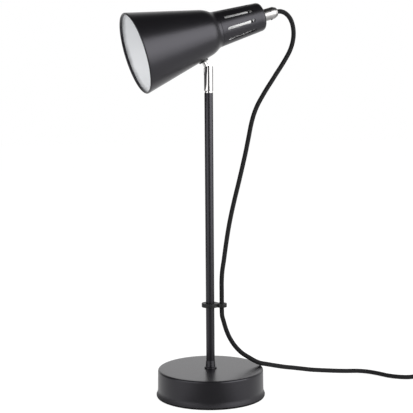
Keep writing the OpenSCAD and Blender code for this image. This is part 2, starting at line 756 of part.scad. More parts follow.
module switch_ends(r) {
    for (x = [-1, switch_l - switch_wall - 1]) translate([x, 0, cord_z]) rotate([0, 90, 0])
        cylinder(r = r, h = switch_wall + 2);
}

module switch_posts(r, from, to) {
    for (x = [switch_screw_x, switch_l - switch_screw_x])
        translate([x, x < switch_l / 2 ? -switch_screw_y : switch_screw_y, from])
            cylinder(r = r, h = to - from);
}

module switch_lower() {
    color("#1c1c1e") at_switch() difference() {
        union() {
            difference() {
                linear_extrude(cord_z) switch_plan(0);
                translate([0, 0, switch_wall]) linear_extrude(switch_h) switch_plan(switch_wall);
            }
            switch_posts(2.8, 1, cord_z);
        }
        switch_ends(3 + fit);
        switch_posts(1.5 + fit, -1, switch_h);
        switch_posts(2.6, -1, 1.2);
    }
}

module switch_upper() {
    color("#1c1c1e") at_switch() difference() {
        union() {
            difference() {
                translate([0, 0, cord_z]) linear_extrude(cord_z) switch_plan(0);
                translate([0, 0, cord_z - 1]) linear_extrude(cord_z + 1 - switch_wall)
                    switch_plan(switch_wall);
            }
            switch_posts(2.8, cord_z, switch_h - 1);
            for (side = [-1, 1]) translate([switch_l / 2 - 3, side * 6 - 1, rocker_z - 3]) cube([6, 2, 6]);
        }
        switch_ends(3 + fit);
        switch_posts(1.5 + fit, 0, switch_h - switch_wall);
        translate([switch_l / 2 - 8.6, -4.8, rocker_z - 4]) cube([17.2, 9.6, 12]);
        translate([switch_l / 2, 7.5, rocker_z]) rotate([90, 0, 0]) cylinder(r = 1.2 + run, h = 15);
    }
}

// A see-saw rocker on two short trunnions, resting on its far end
module switch_rocker() {
    color("#d0d0d0") at_switch() translate([switch_l / 2, 0, rocker_z]) rotate([0, rocker_tilt, 0]) {
        translate([0, 4.5, 0]) rotate([90, 0, 0]) linear_extrude(9) polygon([
            [-7.6, -2], [-2, -3], [2, -3], [7.6, -2], [7.6, 5], [3.8, 4], [0, 3.6], [-3.8, 4], [-7.6, 5]]);
        translate([0, 6.8, 0]) rotate([90, 0, 0]) cylinder(r = 1.2, h = 13.6);
    }
}

module switch_screws() {
    color("silver") at_switch() {
        switch_posts(1.5, 0.2, switch_h - 4);
        switch_posts(2.5, 0.2, 1.2);
    }
}

// A soft tapered sleeve at each end, held by a flange inside the wall
module switch_reliefs() {
    bore = 2.4;
    root = 4.4;
    flange = 1.5;
    out = flange + switch_wall;
    color("#1c1c1e") at_switch() for (far = [0, 1]) translate([far * switch_l, 0, cord_z])
        rotate([0, far ? 90 : -90, 0]) translate([0, 0, -out]) rotate_extrude() polygon([
            [bore, 0], [root, 0], [root, flange - fit], [3, flange - fit], [3, out], [root, out],
            [root, out + 1.5], [3.5, out + switch_relief], [bore, out + switch_relief]]);
}

module switch_contacts() {
    color("#c8a24a") at_switch() {
        translate([contact_x, 1.5, switch_wall]) cube([contact_l, 4, 4.8]);
        translate([contact_x + 4, 2.5, switch_wall + 4.7]) cube([blade_l, 2, 0.5]);
        translate([switch_l - contact_x - contact_l, 1.5, switch_wall]) cube([contact_l, 4, 3.6]);
    }
}

module switch_wires() {
    low = 4;
    start = -switch_relief;
    end = switch_l + switch_relief;
    color("#7a4a2a") at_switch() {
        run_of_wire([[start, -1.3, cord_z], [10, -1.3, cord_z], [16, -4, low], [switch_l - 16, -4, low],
            [switch_l - 10, -1.3, cord_z], [end, -1.3, cord_z]]);
        run_of_wire([[start, 1.3, cord_z], [8, 1.3, cord_z], [14, 3.5, low], [contact_x, 3.5, low]]);
        run_of_wire([[end, 1.3, cord_z], [switch_l - 8, 1.3, cord_z], [switch_l - 14, 2.6, low],
            [switch_l - contact_x, 2.6, low]]);
    }
}

module run_of_wire(points) {
    for (i = [1 : len(points) - 1]) wire(points[i - 1], points[i], 0.9);
    for (i = [1 : len(points) - 2]) translate(points[i]) sphere(r = 1, $fn = 24);
}

// Places things with X along the plug, from the end of the cord towards the pins
module at_plug() {
    translate(plug_at) rotate([0, 0, coil_end_heading]) children();
}

// The plug's outline from above, drawn inwards by d
module plug_plan(d) {
    p = [[plug_relief + d, 6], [plug_relief + 8, plug_half_w - 3.5], [plug_relief + 14, plug_half_w],
        [plug_face - 8, plug_half_w], [plug_face - d, 13.8]];
    polygon(concat([for (q = p) [q[0], q[1] - d]], [for (i = [4 : -1 : 0]) [p[i][0], d - p[i][1]]]));
}

// A flat two-pin plug with its tapered strain relief in the same moulding
module plug_body() {
    color("#1c1c1e") at_plug() difference() {
        union() {
            rotate([0, 90, 0]) cylinder(r1 = 3.6, r2 = 5.4, h = plug_relief + 2);
            translate([0, 0, -plug_t / 2 + 1.8]) linear_extrude(plug_t - 3.6) plug_plan(0);
            translate([0, 0, -plug_t / 2 + 0.7]) linear_extrude(plug_t - 1.4) plug_plan(0.7);
            translate([0, 0, -plug_t / 2]) linear_extrude(plug_t) plug_plan(1.8);
        }
        for (side = [-1, 1]) translate([plug_face - 12, side * plug_pin_y, 0]) rotate([0, 90, 0])
            cylinder(r = plug_neck_r + fit, h = 20);
    }
}

module plug_pins() {
    root = 11.9;
    tip = 8;
    shoulder = root + plug_sleeve_l;
    color("silver") at_plug() for (side = [-1, 1]) translate([plug_face - root, side * plug_pin_y, 0])
        rotate([0, 90, 0]) {
            cylinder(r = plug_neck_r, h = shoulder + 0.1);
            translate([0, 0, shoulder]) cylinder(r = plug_pin_r, h = tip);
            translate([0, 0, shoulder + tip]) cylinder(r1 = plug_pin_r, r2 = 1.2, h = 1);
        }
}

module plug_sleeves() {
    color("#1c1c1e") at_plug() for (side = [-1, 1]) translate([plug_face, side * plug_pin_y, 0])
        rotate([0, 90, 0]) ring(plug_pin_r, plug_neck_r + fit, plug_sleeve_l);
}

base_cover();
base_weight();
base_pad();
foot_stud();
foot_washer();
foot_nut();
foot_collar();
pole_tube();
pole_foot_bush();
pole_top_bush();
cord_clip();
knuckle_fork();
knuckle_pin();
knuckle_washers();
swivel_washer();
swivel_nut();
knuckle_link();
shade_washer();
link_lock_washer();
link_nut();
shade();
rear_cap();
shade_ring();
holder_body();
holder_gasket();
holder_dome();
holder_shell();
holder_contacts();
holder_leads();
nipple();
nipple_nut();
cord_gland();
gland_bush();
gland_screw();
bulb_globe();
bulb_collar();
bulb_cap();
cord_head();
cord_arc();
cord_foot();
cord_lead();
cord_coil();
cord_tail();
switch_lower();
switch_upper();
switch_rocker();
switch_screws();
switch_reliefs();
switch_contacts();
switch_wires();
plug_body();
plug_pins();
plug_sleeves();
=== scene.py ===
from math import acos, atan, atan2, copysign, cos, hypot, pi, radians, sin, tan

import bmesh
import bpy
import numpy as np
from mathutils import Matrix, Vector


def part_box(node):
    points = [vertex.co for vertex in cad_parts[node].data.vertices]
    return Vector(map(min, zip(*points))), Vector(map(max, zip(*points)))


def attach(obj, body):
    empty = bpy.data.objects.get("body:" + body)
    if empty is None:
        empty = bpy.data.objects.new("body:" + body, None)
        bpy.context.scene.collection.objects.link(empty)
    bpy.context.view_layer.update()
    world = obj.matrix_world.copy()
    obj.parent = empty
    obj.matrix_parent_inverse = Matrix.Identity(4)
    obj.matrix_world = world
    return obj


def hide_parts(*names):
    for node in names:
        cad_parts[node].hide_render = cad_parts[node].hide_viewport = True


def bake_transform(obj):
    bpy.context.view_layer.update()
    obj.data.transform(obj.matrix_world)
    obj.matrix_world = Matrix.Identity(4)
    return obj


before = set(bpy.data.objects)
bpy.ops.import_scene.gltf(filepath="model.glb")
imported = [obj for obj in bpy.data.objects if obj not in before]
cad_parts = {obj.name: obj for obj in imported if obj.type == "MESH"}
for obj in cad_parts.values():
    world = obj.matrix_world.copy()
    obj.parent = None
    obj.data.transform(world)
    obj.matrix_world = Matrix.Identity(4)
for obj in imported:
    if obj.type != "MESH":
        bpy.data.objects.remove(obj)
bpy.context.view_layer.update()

MM = 0.001
ON_AXIS = 1e-6


def new_object(name, data):
    item = bpy.data.objects.new(name, data)
    bpy.context.scene.collection.objects.link(item)
    return item


def shift(x, y, z):
    return Matrix.Translation((x, y, z))


def turned(angle, axis):
    return Matrix.Rotation(angle, 4, axis)


# Sizes, in millimetres, as in the CAD source
HEAD_TILT = radians(16.6)
RIM_R, CONE_R, CONE_L = 51.6, 28.6, 99.5
SHADE_T, SHOULDER_L = 1.0, 12.0
CAP_R, CAP_END_R, CAP_L = 22.8, 17.9, 63.0
CAP_S = CONE_L + SHOULDER_L
CAP_END_S = CAP_S + CAP_L
SLOTS, SLOT_W, SLOT_L, SLOT_TURN = 9, 3.4, 39.4, radians(17.6)
SLOT_S = CAP_S + 7.5
GLAND_R, GLAND_L, GLAND_MOUTH_R = 7.8, 22.0, 5.8
BASE_R, LIP_R, BASE_H = 68.3, 70.5, 35.7
POLE_R, POLE_TOP = 5.55, 390.9
POLE_BORE_R = POLE_R - 0.8
PIVOT_Z = 419.4
LINK_L, LINK_S = 13.9, 83.2
CORD_D = 6.0
CLIP_Z, CLIP_T, CLIP_TURN, CLIP_REACH = 118.7, 5.0, radians(-25), 15.1
SWITCH_AT, SWITCH_HEADING = (306.0, -30.3), radians(-22)
SWITCH_L, SWITCH_W, SWITCH_H, SWITCH_RELIEF = 58.0, 22.0, 17.0, 10.0
SWITCH_END = SWITCH_L + 2 * SWITCH_RELIEF
COIL_R, COIL_TURNS = 40.0, 4.5
COIL_PITCH, COIL_LIFT = CORD_D + 0.8, CORD_D + 0.6
PLUG_T, PLUG_RELIEF, PLUG_BODY = 13.6, 30.0, 35.0

# Camera
CAMERA_AT = Vector((-0.39823, -1.18487, 0.36015))
CAMERA_AHEAD = Vector((0.314415, 0.944953, -0.090597)).normalized()
CAMERA_ROLL = radians(-0.412)
CAMERA_LENS, CAMERA_SENSOR = 85.39, 36


def make_camera():
    level = Vector((CAMERA_AHEAD.y, -CAMERA_AHEAD.x, 0)).normalized()
    up = level.cross(CAMERA_AHEAD)
    right = level * cos(CAMERA_ROLL) + up * sin(CAMERA_ROLL)
    up = right.cross(CAMERA_AHEAD)
    data = bpy.data.cameras.new("camera")
    data.lens, data.sensor_width = CAMERA_LENS, CAMERA_SENSOR
    data.clip_start, data.clip_end = 0.01, 100
    camera = new_object("camera", data)
    turn = Matrix((right, up, -CAMERA_AHEAD)).transposed()
    camera.matrix_world = shift(*CAMERA_AT) @ turn.to_4x4()
    bpy.context.scene.camera = camera


make_camera()

# Places
UP_AXIS = Vector((cos(HEAD_TILT), 0, sin(HEAD_TILT)))
DOWN_SIDE = Vector((sin(HEAD_TILT), 0, -cos(HEAD_TILT)))
CONE_K = (RIM_R - CONE_R) / CONE_L
CONE_HALF = atan(CONE_K)
PIVOT = Vector((0, 0, PIVOT_Z))
PIVOT_DOWN = RIM_R - CONE_K * LINK_S + LINK_L * cos(CONE_HALF)
PIVOT_ALONG = LINK_S + LINK_L * sin(CONE_HALF)
RIM_CENTRE = PIVOT - DOWN_SIDE * PIVOT_DOWN - UP_AXIS * PIVOT_ALONG
HEAD_PLACE = shift(*RIM_CENTRE) @ turned(pi / 2 - HEAD_TILT, "Y")
LINK_PLACE = shift(*PIVOT) @ turned(-(CONE_HALF + HEAD_TILT), "Y")


def heading(angle):
    return np.array([cos(angle), sin(angle), 0.0])


def switch_line(x, z):
    return np.array([SWITCH_AT[0], SWITCH_AT[1], z]) + x * heading(SWITCH_HEADING)


def on_axis(s):
    return np.array(RIM_CENTRE + UP_AXIS * s)


# Cord routes, the same points as in the CAD source
UPPER_ROUTE = [
    on_axis(CAP_END_S + 8.5), on_axis(CAP_END_S + GLAND_L + 1),
    (97, 0, 495.6), (102.8, 0, 494.6), (108, 0, 491.4), (112, 0, 486.8), (114.7, 0, 481), (116.3, 0, 474.5),
    (116.8, 0, 466),
    (115.3, 0, 456), (111.8, 0, 446), (106.2, 0, 436), (99.7, 0, 426), (92.7, 0, 416), (85.7, -0.5, 406),
    (78.7, -0.7, 396), (72.2, -1, 386), (66.2, -1.2, 376), (61.2, -1.5, 365), (57.5, -1.7, 353.4),
    (53.1, -2, 333.9), (48.6, -2.4, 313.9), (43.6, -2.9, 294.4),
]
MIDDLE_ROUTE = [
    (38.5, -3.3, 275), (33.1, -3.8, 255.5), (28.1, -4.3, 236), (23.8, -4.8, 216.5), (20.3, -5.3, 197),
    (17.2, -5.8, 177.5), (14.6, -6.2, 162),
]
LOWER_ROUTE = [
    (13.7, -6.4, 149), (13.7, -6.4, 137), (13.7, -6.4, 125.1), (13.7, -6.4, 113.1), (14.2, -6.4, 104.1),
    (16, -6.4, 97.6), (19.5, -6.4, 86.1), (24.5, -6.4, 74.6), (31.5, -6.4, 63.7), (40.2, -6.9, 54.3),
    (50.8, -8, 46.8), (57.8, -9.1, 42.4), (64.8, -9.6, 39), (75, -9.3, 36.3), (89.5, -5.6, 32.1),
    (103.8, -1.4, 28.1), (118.9, 3.5, 24.4), (132.9, 6, 21.2), (147.3, 8, 18.1), (161.8, 11, 15.4),
    (176.8, 13.5, 12.9), (191.8, 16, 10.5), (206.8, 18.6, 8.4), (215.2, 20, 7.4), (223.2, 20.7, 6.5),
    (231.2, 19.8, 5.6), (238.6, 16.9, 4.8), (245.1, 11.8, 4.1), (250.8, 4.8, 3.6), (256.4, -3.3, 3.1),
    (262.3, -10.8, 3.1), (269.9, -17, 3.1), (279.2, -21.2, 3.1), (288.7, -23.9, 4), (297.6, -26.9, 6.2),
    switch_line(0, SWITCH_H / 2),
]


def coil_route():
    """The lead from the switch, the coil that winds in below and out on top, and the tail to the plug."""
    floor_z, lead, rings = CORD_D / 2 + 0.1, 30, 24
    start = switch_line(SWITCH_END + lead, floor_z)
    centre = start + COIL_R * np.array([sin(SWITCH_HEADING), -cos(SWITCH_HEADING), 0])
    first = pi / 2 + SWITCH_HEADING
    route = [switch_line(SWITCH_END, SWITCH_H / 2), switch_line(SWITCH_END + 8, 7.3),
             switch_line(SWITCH_END + 17, 4), start - CORD_D * heading(SWITCH_HEADING)]
    for i in range(int(COIL_TURNS * rings) + 1):
        t = i / rings
        radius = COIL_R - COIL_PITCH * min(t, COIL_TURNS - t)
        lift = COIL_LIFT * min(1, max(0, (t - COIL_TURNS / 2) * 2 + 0.5))
        route.append(centre + radius * heading(first - 2 * pi * t) + np.array([0, 0, lift]))
    out = heading(SWITCH_HEADING - 2 * pi * COIL_TURNS)
    tail = route[-1] + CORD_D * out
    plug = np.array([tail[0], tail[1], PLUG_T / 2]) + 20 * out
    route += [tail, (tail + plug) / 2, plug]
    return route, plug, out


COIL_ROUTE, PLUG_AT, PLUG_HEADING = coil_route()


def smooth_line(points, step):
    """Evenly spaced points on a smooth curve through the given ones, and where on it each of those lies."""
    parts = 16
    t = np.linspace(0, 1, parts, endpoint=False)[:, None]
    p = np.array(points, float)
    d = np.linalg.norm(np.diff(p, axis=0), axis=1)
    slope = np.diff(p, axis=0) / d[:, None]
    between = (slope[1:] * d[:-1, None] + slope[:-1] * d[1:, None]) / (d[1:] + d[:-1])[:, None]
    m = np.vstack([slope[:1], between, slope[-1:]])
    out = []
    for i in range(len(d)):
        out.append((2 * t ** 3 - 3 * t ** 2 + 1) * p[i] + (t ** 3 - 2 * t ** 2 + t) * d[i] * m[i]
                   + (3 * t ** 2 - 2 * t ** 3) * p[i + 1] + (t ** 3 - t ** 2) * d[i] * m[i + 1])
    fine = np.vstack(out + [p[-1:]])
    run = np.concatenate([[0], np.cumsum(np.linalg.norm(np.diff(fine, axis=0), axis=1))])
    even = np.linspace(0, run[-1], max(2, int(round(run[-1] / step)) + 1))
    return np.stack([np.interp(even, run, fine[:, k]) for k in range(3)], 1), run[::parts], even


# Mesh helpers
def add_piece(name, mesh, body, material, replaces):
    """Shows a mesh in place of CAD nodes, on a body and with one material."""
    piece = new_object(name, mesh)
    if material is not None:
        mesh.materials.clear()
        mesh.materials.append(material)
    if body:
        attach(piece, body)
    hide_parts(*replaces)
    return piece


def new_mesh(name, verts, faces, smooth_angle=40):
    mesh = bpy.data.meshes.new(name)
    mesh.from_pydata([tuple(v) for v in verts], [], faces)
    mesh.update()
    finish_shading(mesh, smooth_angle)
    return mesh


def finish_shading(mesh, smooth_angle=40):
    mesh.polygons.foreach_set("use_smooth", [True] * len(mesh.polygons))
    mesh.set_sharp_from_angle(angle=radians(smooth_angle))
    mesh.update()


def place(mesh, matrix=None, smooth_angle=None):
    """Turns a mesh made in millimetres into one in metres, where it belongs."""
    if smooth_angle:
        finish_shading(mesh, smooth_angle)
    scale = Matrix.Scale(MM, 4)
    mesh.transform(scale @ matrix if matrix is not None else scale)
    mesh.update()
    return mesh


def moved(mesh, matrix):
    mesh.transform(matrix)
    return mesh


def fillet(corners, steps=4):
    """Rounds the corners of a closed outline, each (x, y, radius) and none past most of half an edge."""
    out, n, most = [], len(corners), 0.48
    for i, (x, y, r) in enumerate(corners):
        a, c, b = (np.array(corners[k % n][:2], float) for k in (i - 1, i, i + 1))
        if r <= 0:
            out.append(tuple(c))
            continue
        la, lb = np.linalg.norm(a - c), np.linalg.norm(b - c)
        ua, ub = (a - c) / la, (b - c) / lb
        half = acos(max(-1, min(1, float(ua @ ub)))) / 2
        reach = min(r / max(tan(half), 1e-6), la * most, lb * most)
        p, q = c + ua * reach, c + ub * reach
        for k in range(steps + 1):
            t = k / steps
            out.append(tuple((1 - t) ** 2 * p + 2 * t * (1 - t) * c + t * t * q))
    return out


def lathe(name, outline, turns=128, smooth_angle=40):
    """Spins a closed outline of (radius, height) about Z. Points on the axis become poles."""
    verts, index, faces, n = [], [], [], len(outline)
    for r, z in outline:
        count = 1 if r < ON_AXIS else turns
        index.append([len(verts) + k % count for k in range(turns)])
        verts += [(r * cos(2 * pi * k / turns), r * sin(2 * pi * k / turns), z) for k in range(count)]
    for i in range(n):
        j = (i + 1) % n
        if outline[i][0] < ON_AXIS and outline[j][0] < ON_AXIS:
            continue
        for k in range(turns):
            q = [index[i][k], index[i][(k + 1) % turns], index[j][(k + 1) % turns], index[j][k]]
            faces.append([v for s, v in enumerate(q) if v != q[s - 1]])
    mesh = new_mesh(name, verts, faces, smooth_angle)
    face_outwards(mesh)
    return mesh


def rod(r, low, high, turns=32):
    return lathe("rod", [(0, low), (r, low), (r, high), (0, high)], turns)


def face_outwards(mesh):
    bm = bmesh.new()
    bm.from_mesh(mesh)
    bmesh.ops.remove_doubles(bm, verts=bm.verts, dist=1e-6)
    bmesh.ops.recalc_face_normals(bm, faces=bm.faces)
    bm.to_mesh(mesh)
    bm.free()
    mesh.update()


def taken_from(holder):
    """The mesh that an object's modifiers make; the object itself goes."""
    graph = bpy.context.evaluated_depsgraph_get()
    mesh = bpy.data.meshes.new_from_object(holder.evaluated_get(graph))
    bpy.data.objects.remove(holder)
    return mesh


def baked(mesh, kind, **settings):
    holder = new_object("holder", mesh)
    modifier = holder.modifiers.new(kind, kind)
    for key, value in settings.items():
        setattr(modifier, key, value)
    return taken_from(holder)


def bevelled(mesh, width, segments=3, angle=35):
    return baked(mesh, "BEVEL", width=width, segments=segments, limit_method="ANGLE",
                 angle_limit=radians(angle))


def cut(mesh, cutter_mesh):
    cutter = new_object("cutter", cutter_mesh)
    result = baked(mesh, "BOOLEAN", object=cutter, operation="DIFFERENCE", solver="EXACT")
    bpy.data.objects.remove(cutter)
    return result


def prism(name, outline, low, high):
    """An upright prism over a closed outline of (x, y)."""
    n = len(outline)
    verts = [(x, y, z) for z in (low, high) for x, y in outline]
    faces = [list(range(n))[::-1], list(range(n, 2 * n))]
    faces += [[i, (i + 1) % n, n + (i + 1) % n, n + i] for i in range(n)]
    mesh = new_mesh(name, verts, faces)
    face_outwards(mesh)
    return mesh


def block(x, y, low, high):
    """An upright block whose plan is given by its half sizes."""
    return prism("block", [(-x, -y), (x, -y), (x, y), (-x, y)], low, high)


# Materials
def new_material(name, colour, rough, metal=0.0, specular=0.5, coat=0.0, coat_rough=0.1, sheen=0.0):
    material = bpy.data.materials.new(name)
    material.use_nodes = True
    shader = material.node_tree.nodes["Principled BSDF"]
    for label, value in (("Base Color", (*colour, 1)), ("Roughness", rough), ("Metallic", metal),
                         ("Specular IOR Level", specular), ("Coat Weight", coat),
                         ("Coat Roughness", coat_rough), ("Sheen Weight", sheen)):
        shader.inputs[label].default_value = value
    return material, material.node_tree, shader


def linked(tree, kind, sources=None, **settings):
    node = tree.nodes.new(kind)
    for key, value in settings.items():
        if hasattr(node, key):
            setattr(node, key, value)
        else:
            node.inputs[key.replace("_", " ")].default_value = value
    for key, socket in (sources or {}).items():
        tree.links.new(socket, node.inputs[key])
    return node


def combine(tree, operation, a, b=0.0):
    """A maths node on two sockets or numbers."""
    node = linked(tree, "ShaderNodeMath", operation=operation)
    for i, value in enumerate((a, b)):
        if isinstance(value, (int, float)):
            node.inputs[i].default_value = value
        else:
            tree.links.new(value, node.inputs[i])
    return node.outputs[0]


def own_place(tree):
    return tree.nodes.new("ShaderNodeTexCoord").outputs["Object"]


def speckle(tree, scale, detail=3.0):
    """Noise that keeps its place on the piece."""
    return linked(tree, "ShaderNodeTexNoise", {"Vector": own_place(tree)}, Scale=scale, Detail=detail,
                  Roughness=0.55).outputs["Fac"]


def remap(tree, socket, low, high, from_low=0.3, from_high=0.7):
    node = linked(tree, "ShaderNodeMapRange", {"Value": socket})
    for key, value in {"From Min": from_low, "From Max": from_high, "To Min": low, "To Max": high}.items():
        node.inputs[key].default_value = value
    return node.outputs["Result"]


def toward(tree, vector, aim):
    """How far a point or a direction lies along aim."""
    node = linked(tree, "ShaderNodeVectorMath", {0: vector}, operation="DOT_PRODUCT")
    node.inputs[1].default_value = aim
    return node.outputs["Value"]


def add_bump(tree, shader, height, strength, distance):
    bump = linked(tree, "ShaderNodeBump", {"Height": height}, Strength=strength, Distance=distance)
    tree.links.new(bump.outputs["Normal"], shader.inputs["Normal"])


def mixed(tree, factor, low, high):
    """A colour between two, each given as a colour or as a socket."""
    mix = linked(tree, "ShaderNodeMix", {0: factor}, data_type="RGBA")
    for i, value in ((6, low), (7, high)):
        if isinstance(value, tuple):
            mix.inputs[i].default_value = (*value, 1)
        else:
            tree.links.new(value, mix.inputs[i])
    return mix.outputs[2]


def tint(tree, shader, socket, dark, light, from_low=0.3, from_high=0.7):
    """Colour that wanders between two shades as the socket goes from low to high."""
    factor = remap(tree, socket, 0, 1, from_low, from_high)
    tree.links.new(mixed(tree, factor, dark, light), shader.inputs["Base Color"])


BROAD_SCALE, BROAD_DETAIL = 14, 2
# Violet tint on the paint's reflections: painted violet cast of the studio's light
PAINTED_LIGHT_TINT = (0.93, 0.91, 1.0, 1)
FLARE_LOW, FLARE_TOP, FLARE_MATT = 0.004, 0.0095, 0.3
# Painted shade: a grey band just inside the shade's rim that fades into the white
PAINTED_SHADE_FROM, PAINTED_SHADE_TO, PAINTED_SHADE_RAGGED = 0.0015, 0.008, 0.0008
PAINTED_SHADE_GREY = (0.2, 0.2, 0.21)


def grained(name, dark, light, rough_low, rough_high, grain, bump, distance, **more):
    """A finish with a fine grain in its gloss and its surface, and a colour that wanders broadly."""
    material, tree, shader = new_material(name, light, rough_high, **more)
    fine = speckle(tree, grain)
    tint(tree, shader, speckle(tree, BROAD_SCALE, BROAD_DETAIL), dark, light)
    tree.links.new(remap(tree, fine, rough_low, rough_high), shader.inputs["Roughness"])
    add_bump(tree, shader, fine, bump, distance)
    return material


def make_black_paint(name, flared=False):
    """Satin black paint; the base's has less gloss where its foot flares out."""
    # The slight violet in this colour and in the reflection tint is painted light, the violet cast of the
    # studio's light
    material = grained(name, (0.0054, 0.0051, 0.006), (0.0072, 0.0068, 0.008),
                       0.29, 0.35, 1500, 0.25, 0.00006)
    tree = material.node_tree
    shader = tree.nodes["Principled BSDF"]
    shader.inputs["Specular Tint"].default_value = PAINTED_LIGHT_TINT
    if flared:
        gloss = shader.inputs["Roughness"].links[0].from_socket
        height = linked(tree, "ShaderNodeSeparateXYZ", {"Vector": own_place(tree)}).outputs["Z"]
        worn = remap(tree, height, FLARE_MATT, 0, FLARE_LOW, FLARE_TOP)
        tree.links.new(combine(tree, "ADD", gloss, worn), shader.inputs["Roughness"])
    return material


def make_white_paint():
    """White inside the shade, with a soft grey painted shade near the rim's black that fades into it."""
    material, tree, shader = new_material("white_paint", (0.79, 0.8, 0.815), 0.45)
    fine, broad = speckle(tree, 1300), speckle(tree, 60, 4)
    wander = remap(tree, speckle(tree, BROAD_SCALE, BROAD_DETAIL), 0, 1)
    white = mixed(tree, wander, (0.765, 0.775, 0.79), (0.815, 0.825, 0.84))
    # Painted shade near the rim: grey close to the mouth, clearing to white deeper in
    along = toward(tree, own_place(tree), tuple(UP_AXIS))
    from_rim = combine(tree, "SUBTRACT", along, RIM_CENTRE.dot(UP_AXIS) * MM)
    ragged = combine(tree, "ADD", from_rim, remap(tree, broad, -PAINTED_SHADE_RAGGED, PAINTED_SHADE_RAGGED))
    clear = remap(tree, ragged, 0, 1, PAINTED_SHADE_FROM, PAINTED_SHADE_TO)
    tree.links.new(mixed(tree, clear, PAINTED_SHADE_GREY, white), shader.inputs["Base Color"])
    tree.links.new(remap(tree, fine, 0.42, 0.5), shader.inputs["Roughness"])
    add_bump(tree, shader, fine, 0.2, 0.00006)
    return material


def make_frosted_glass():
    material, tree, shader = new_material("frosted_glass", (0.9, 0.9, 0.89), 0.3)
    grain = speckle(tree, 1400)
    tint(tree, shader, grain, (0.86, 0.86, 0.85), (0.93, 0.93, 0.92))
    tree.links.new(remap(tree, grain, 0.24, 0.36), shader.inputs["Roughness"])
    shader.inputs["Subsurface Weight"].default_value = 0.35
    shader.inputs["Subsurface Radius"].default_value = (0.004, 0.004, 0.004)
    add_bump(tree, shader, grain, 0.1, 0.00003)
    return material


def make_wire_insulation():
    """Brown on one side of the lamp's plane and blue on the other, as on a two-core cord."""
    material, tree, shader = new_material("wire_insulation", (0.2, 0.08, 0.03), 0.4)
    aside = linked(tree, "ShaderNodeSeparateXYZ", {"Vector": own_place(tree)}).outputs["Y"]
    tint(tree, shader, aside, (0.2, 0.08, 0.03), (0.02, 0.07, 0.3), -0.0001, 0.0001)
    tree.links.new(remap(tree, speckle(tree, 900), 0.35, 0.45), shader.inputs["Roughness"])
    return material


BRAID_STRANDS, BRAID_PITCH, BRAID_YARNS = 8, 2.4, 8


def make_braid():
    """Black textile braid: the UV map counts strands round the cord and pitches along it."""
    material, tree, shader = new_material("cord_braid", (0.008, 0.008, 0.009), 0.72,
                                          specular=0.15, sheen=0.06)
    shader.inputs["Sheen Roughness"].default_value = 0.4
    uv = linked(tree, "ShaderNodeUVMap", uv_map="braid")
    apart = linked(tree, "ShaderNodeSeparateXYZ", {"Vector": uv.outputs["UV"]}).outputs
    right, left = (combine(tree, way, apart["X"], apart["Y"]) for way in ("ADD", "SUBTRACT"))

    def wave(across, count):
        return combine(tree, "SINE", combine(tree, "MULTIPLY", across, count * pi))

    on_top = combine(tree, "GREATER_THAN", combine(tree, "MULTIPLY", wave(right, 1), wave(left, 1)))
    under = combine(tree, "SUBTRACT", 1.0, on_top)
    yarn = combine(tree, "ADD", combine(tree, "MULTIPLY", on_top, wave(right, BRAID_YARNS)),
                   combine(tree, "MULTIPLY", under, wave(left, BRAID_YARNS)))
    height = combine(tree, "ADD", combine(tree, "MULTIPLY", yarn, 0.5), speckle(tree, 2600, 2))
    # Darker where the yarns lie low: painted shade in the grooves between the strands
    tint(tree, shader, height, (0.004, 0.004, 0.0044), (0.012, 0.0118, 0.0128), -0.2, 1.2)
    tree.links.new(remap(tree, height, 0.8, 0.62, -0.2, 1.2), shader.inputs["Roughness"])
    add_bump(tree, shader, height, 0.5, 0.00007)
    return material


black_paint = make_black_paint("black_paint")
base_paint = make_black_paint("base_paint", flared=True)
white_paint = make_white_paint()
chrome = grained("chrome", (0.60, 0.59, 0.585), (0.65, 0.64, 0.635),
                 0.07, 0.11, 900, 0.04, 0.00002, metal=1.0)
satin_chrome = grained("satin_chrome", (0.36, 0.355, 0.35), (0.46, 0.45, 0.445),
                       0.28, 0.4, 700, 0.08, 0.00003, metal=1.0)
dull_steel = grained("dull_steel", (0.74, 0.74, 0.75), (0.84, 0.84, 0.85),
                     0.35, 0.45, 700, 0.08, 0.00003, metal=0.3)
zinc = grained("zinc", (0.5, 0.52, 0.56), (0.62, 0.63, 0.65), 0.28, 0.42, 700, 0.2, 0.00004, metal=1.0)
bright_steel = grained("bright_steel", (0.72, 0.72, 0.73), (0.8, 0.8, 0.8),
                       0.16, 0.26, 800, 0.1, 0.00003, metal=1.0)
brass = grained("brass", (0.62, 0.44, 0.17), (0.74, 0.55, 0.24), 0.2, 0.34, 700, 0.12, 0.00003, metal=1.0)
cast_iron = grained("cast_iron", (0.035, 0.035, 0.038), (0.075, 0.072, 0.07),
                    0.6, 0.8, 260, 0.7, 0.0004, metal=0.4)
porcelain = grained("porcelain", (0.84, 0.84, 0.84), (0.9, 0.9, 0.895),
                    0.12, 0.2, 420, 0.06, 0.00004, coat=0.4, coat_rough=0.06)
black_rubber = grained("black_rubber", (0.006, 0.006, 0.0064), (0.01, 0.01, 0.0106),
                       0.42, 0.54, 1100, 0.3, 0.00006, specular=0.3)
black_metal = grained("black_metal", (0.01, 0.01, 0.011), (0.015, 0.015, 0.016),
                      0.28, 0.38, 1200, 0.2, 0.00004)
black_plastic = grained("black_plastic", (0.013, 0.013, 0.014), (0.018, 0.018, 0.019),
                        0.38, 0.48, 1600, 0.35, 0.00006)
gloss_black = grained("gloss_black", (0.011, 0.011, 0.012), (0.015, 0.015, 0.016),
                      0.16, 0.22, 1500, 0.1, 0.00003)
white_plastic = grained("white_plastic", (0.76, 0.76, 0.74), (0.82, 0.82, 0.8), 0.3, 0.4, 900, 0.12, 0.00004)
nickel = grained("nickel", (0.62, 0.59, 0.53), (0.7, 0.67, 0.6), 0.16, 0.24, 900, 0.08, 0.00003, metal=1.0)
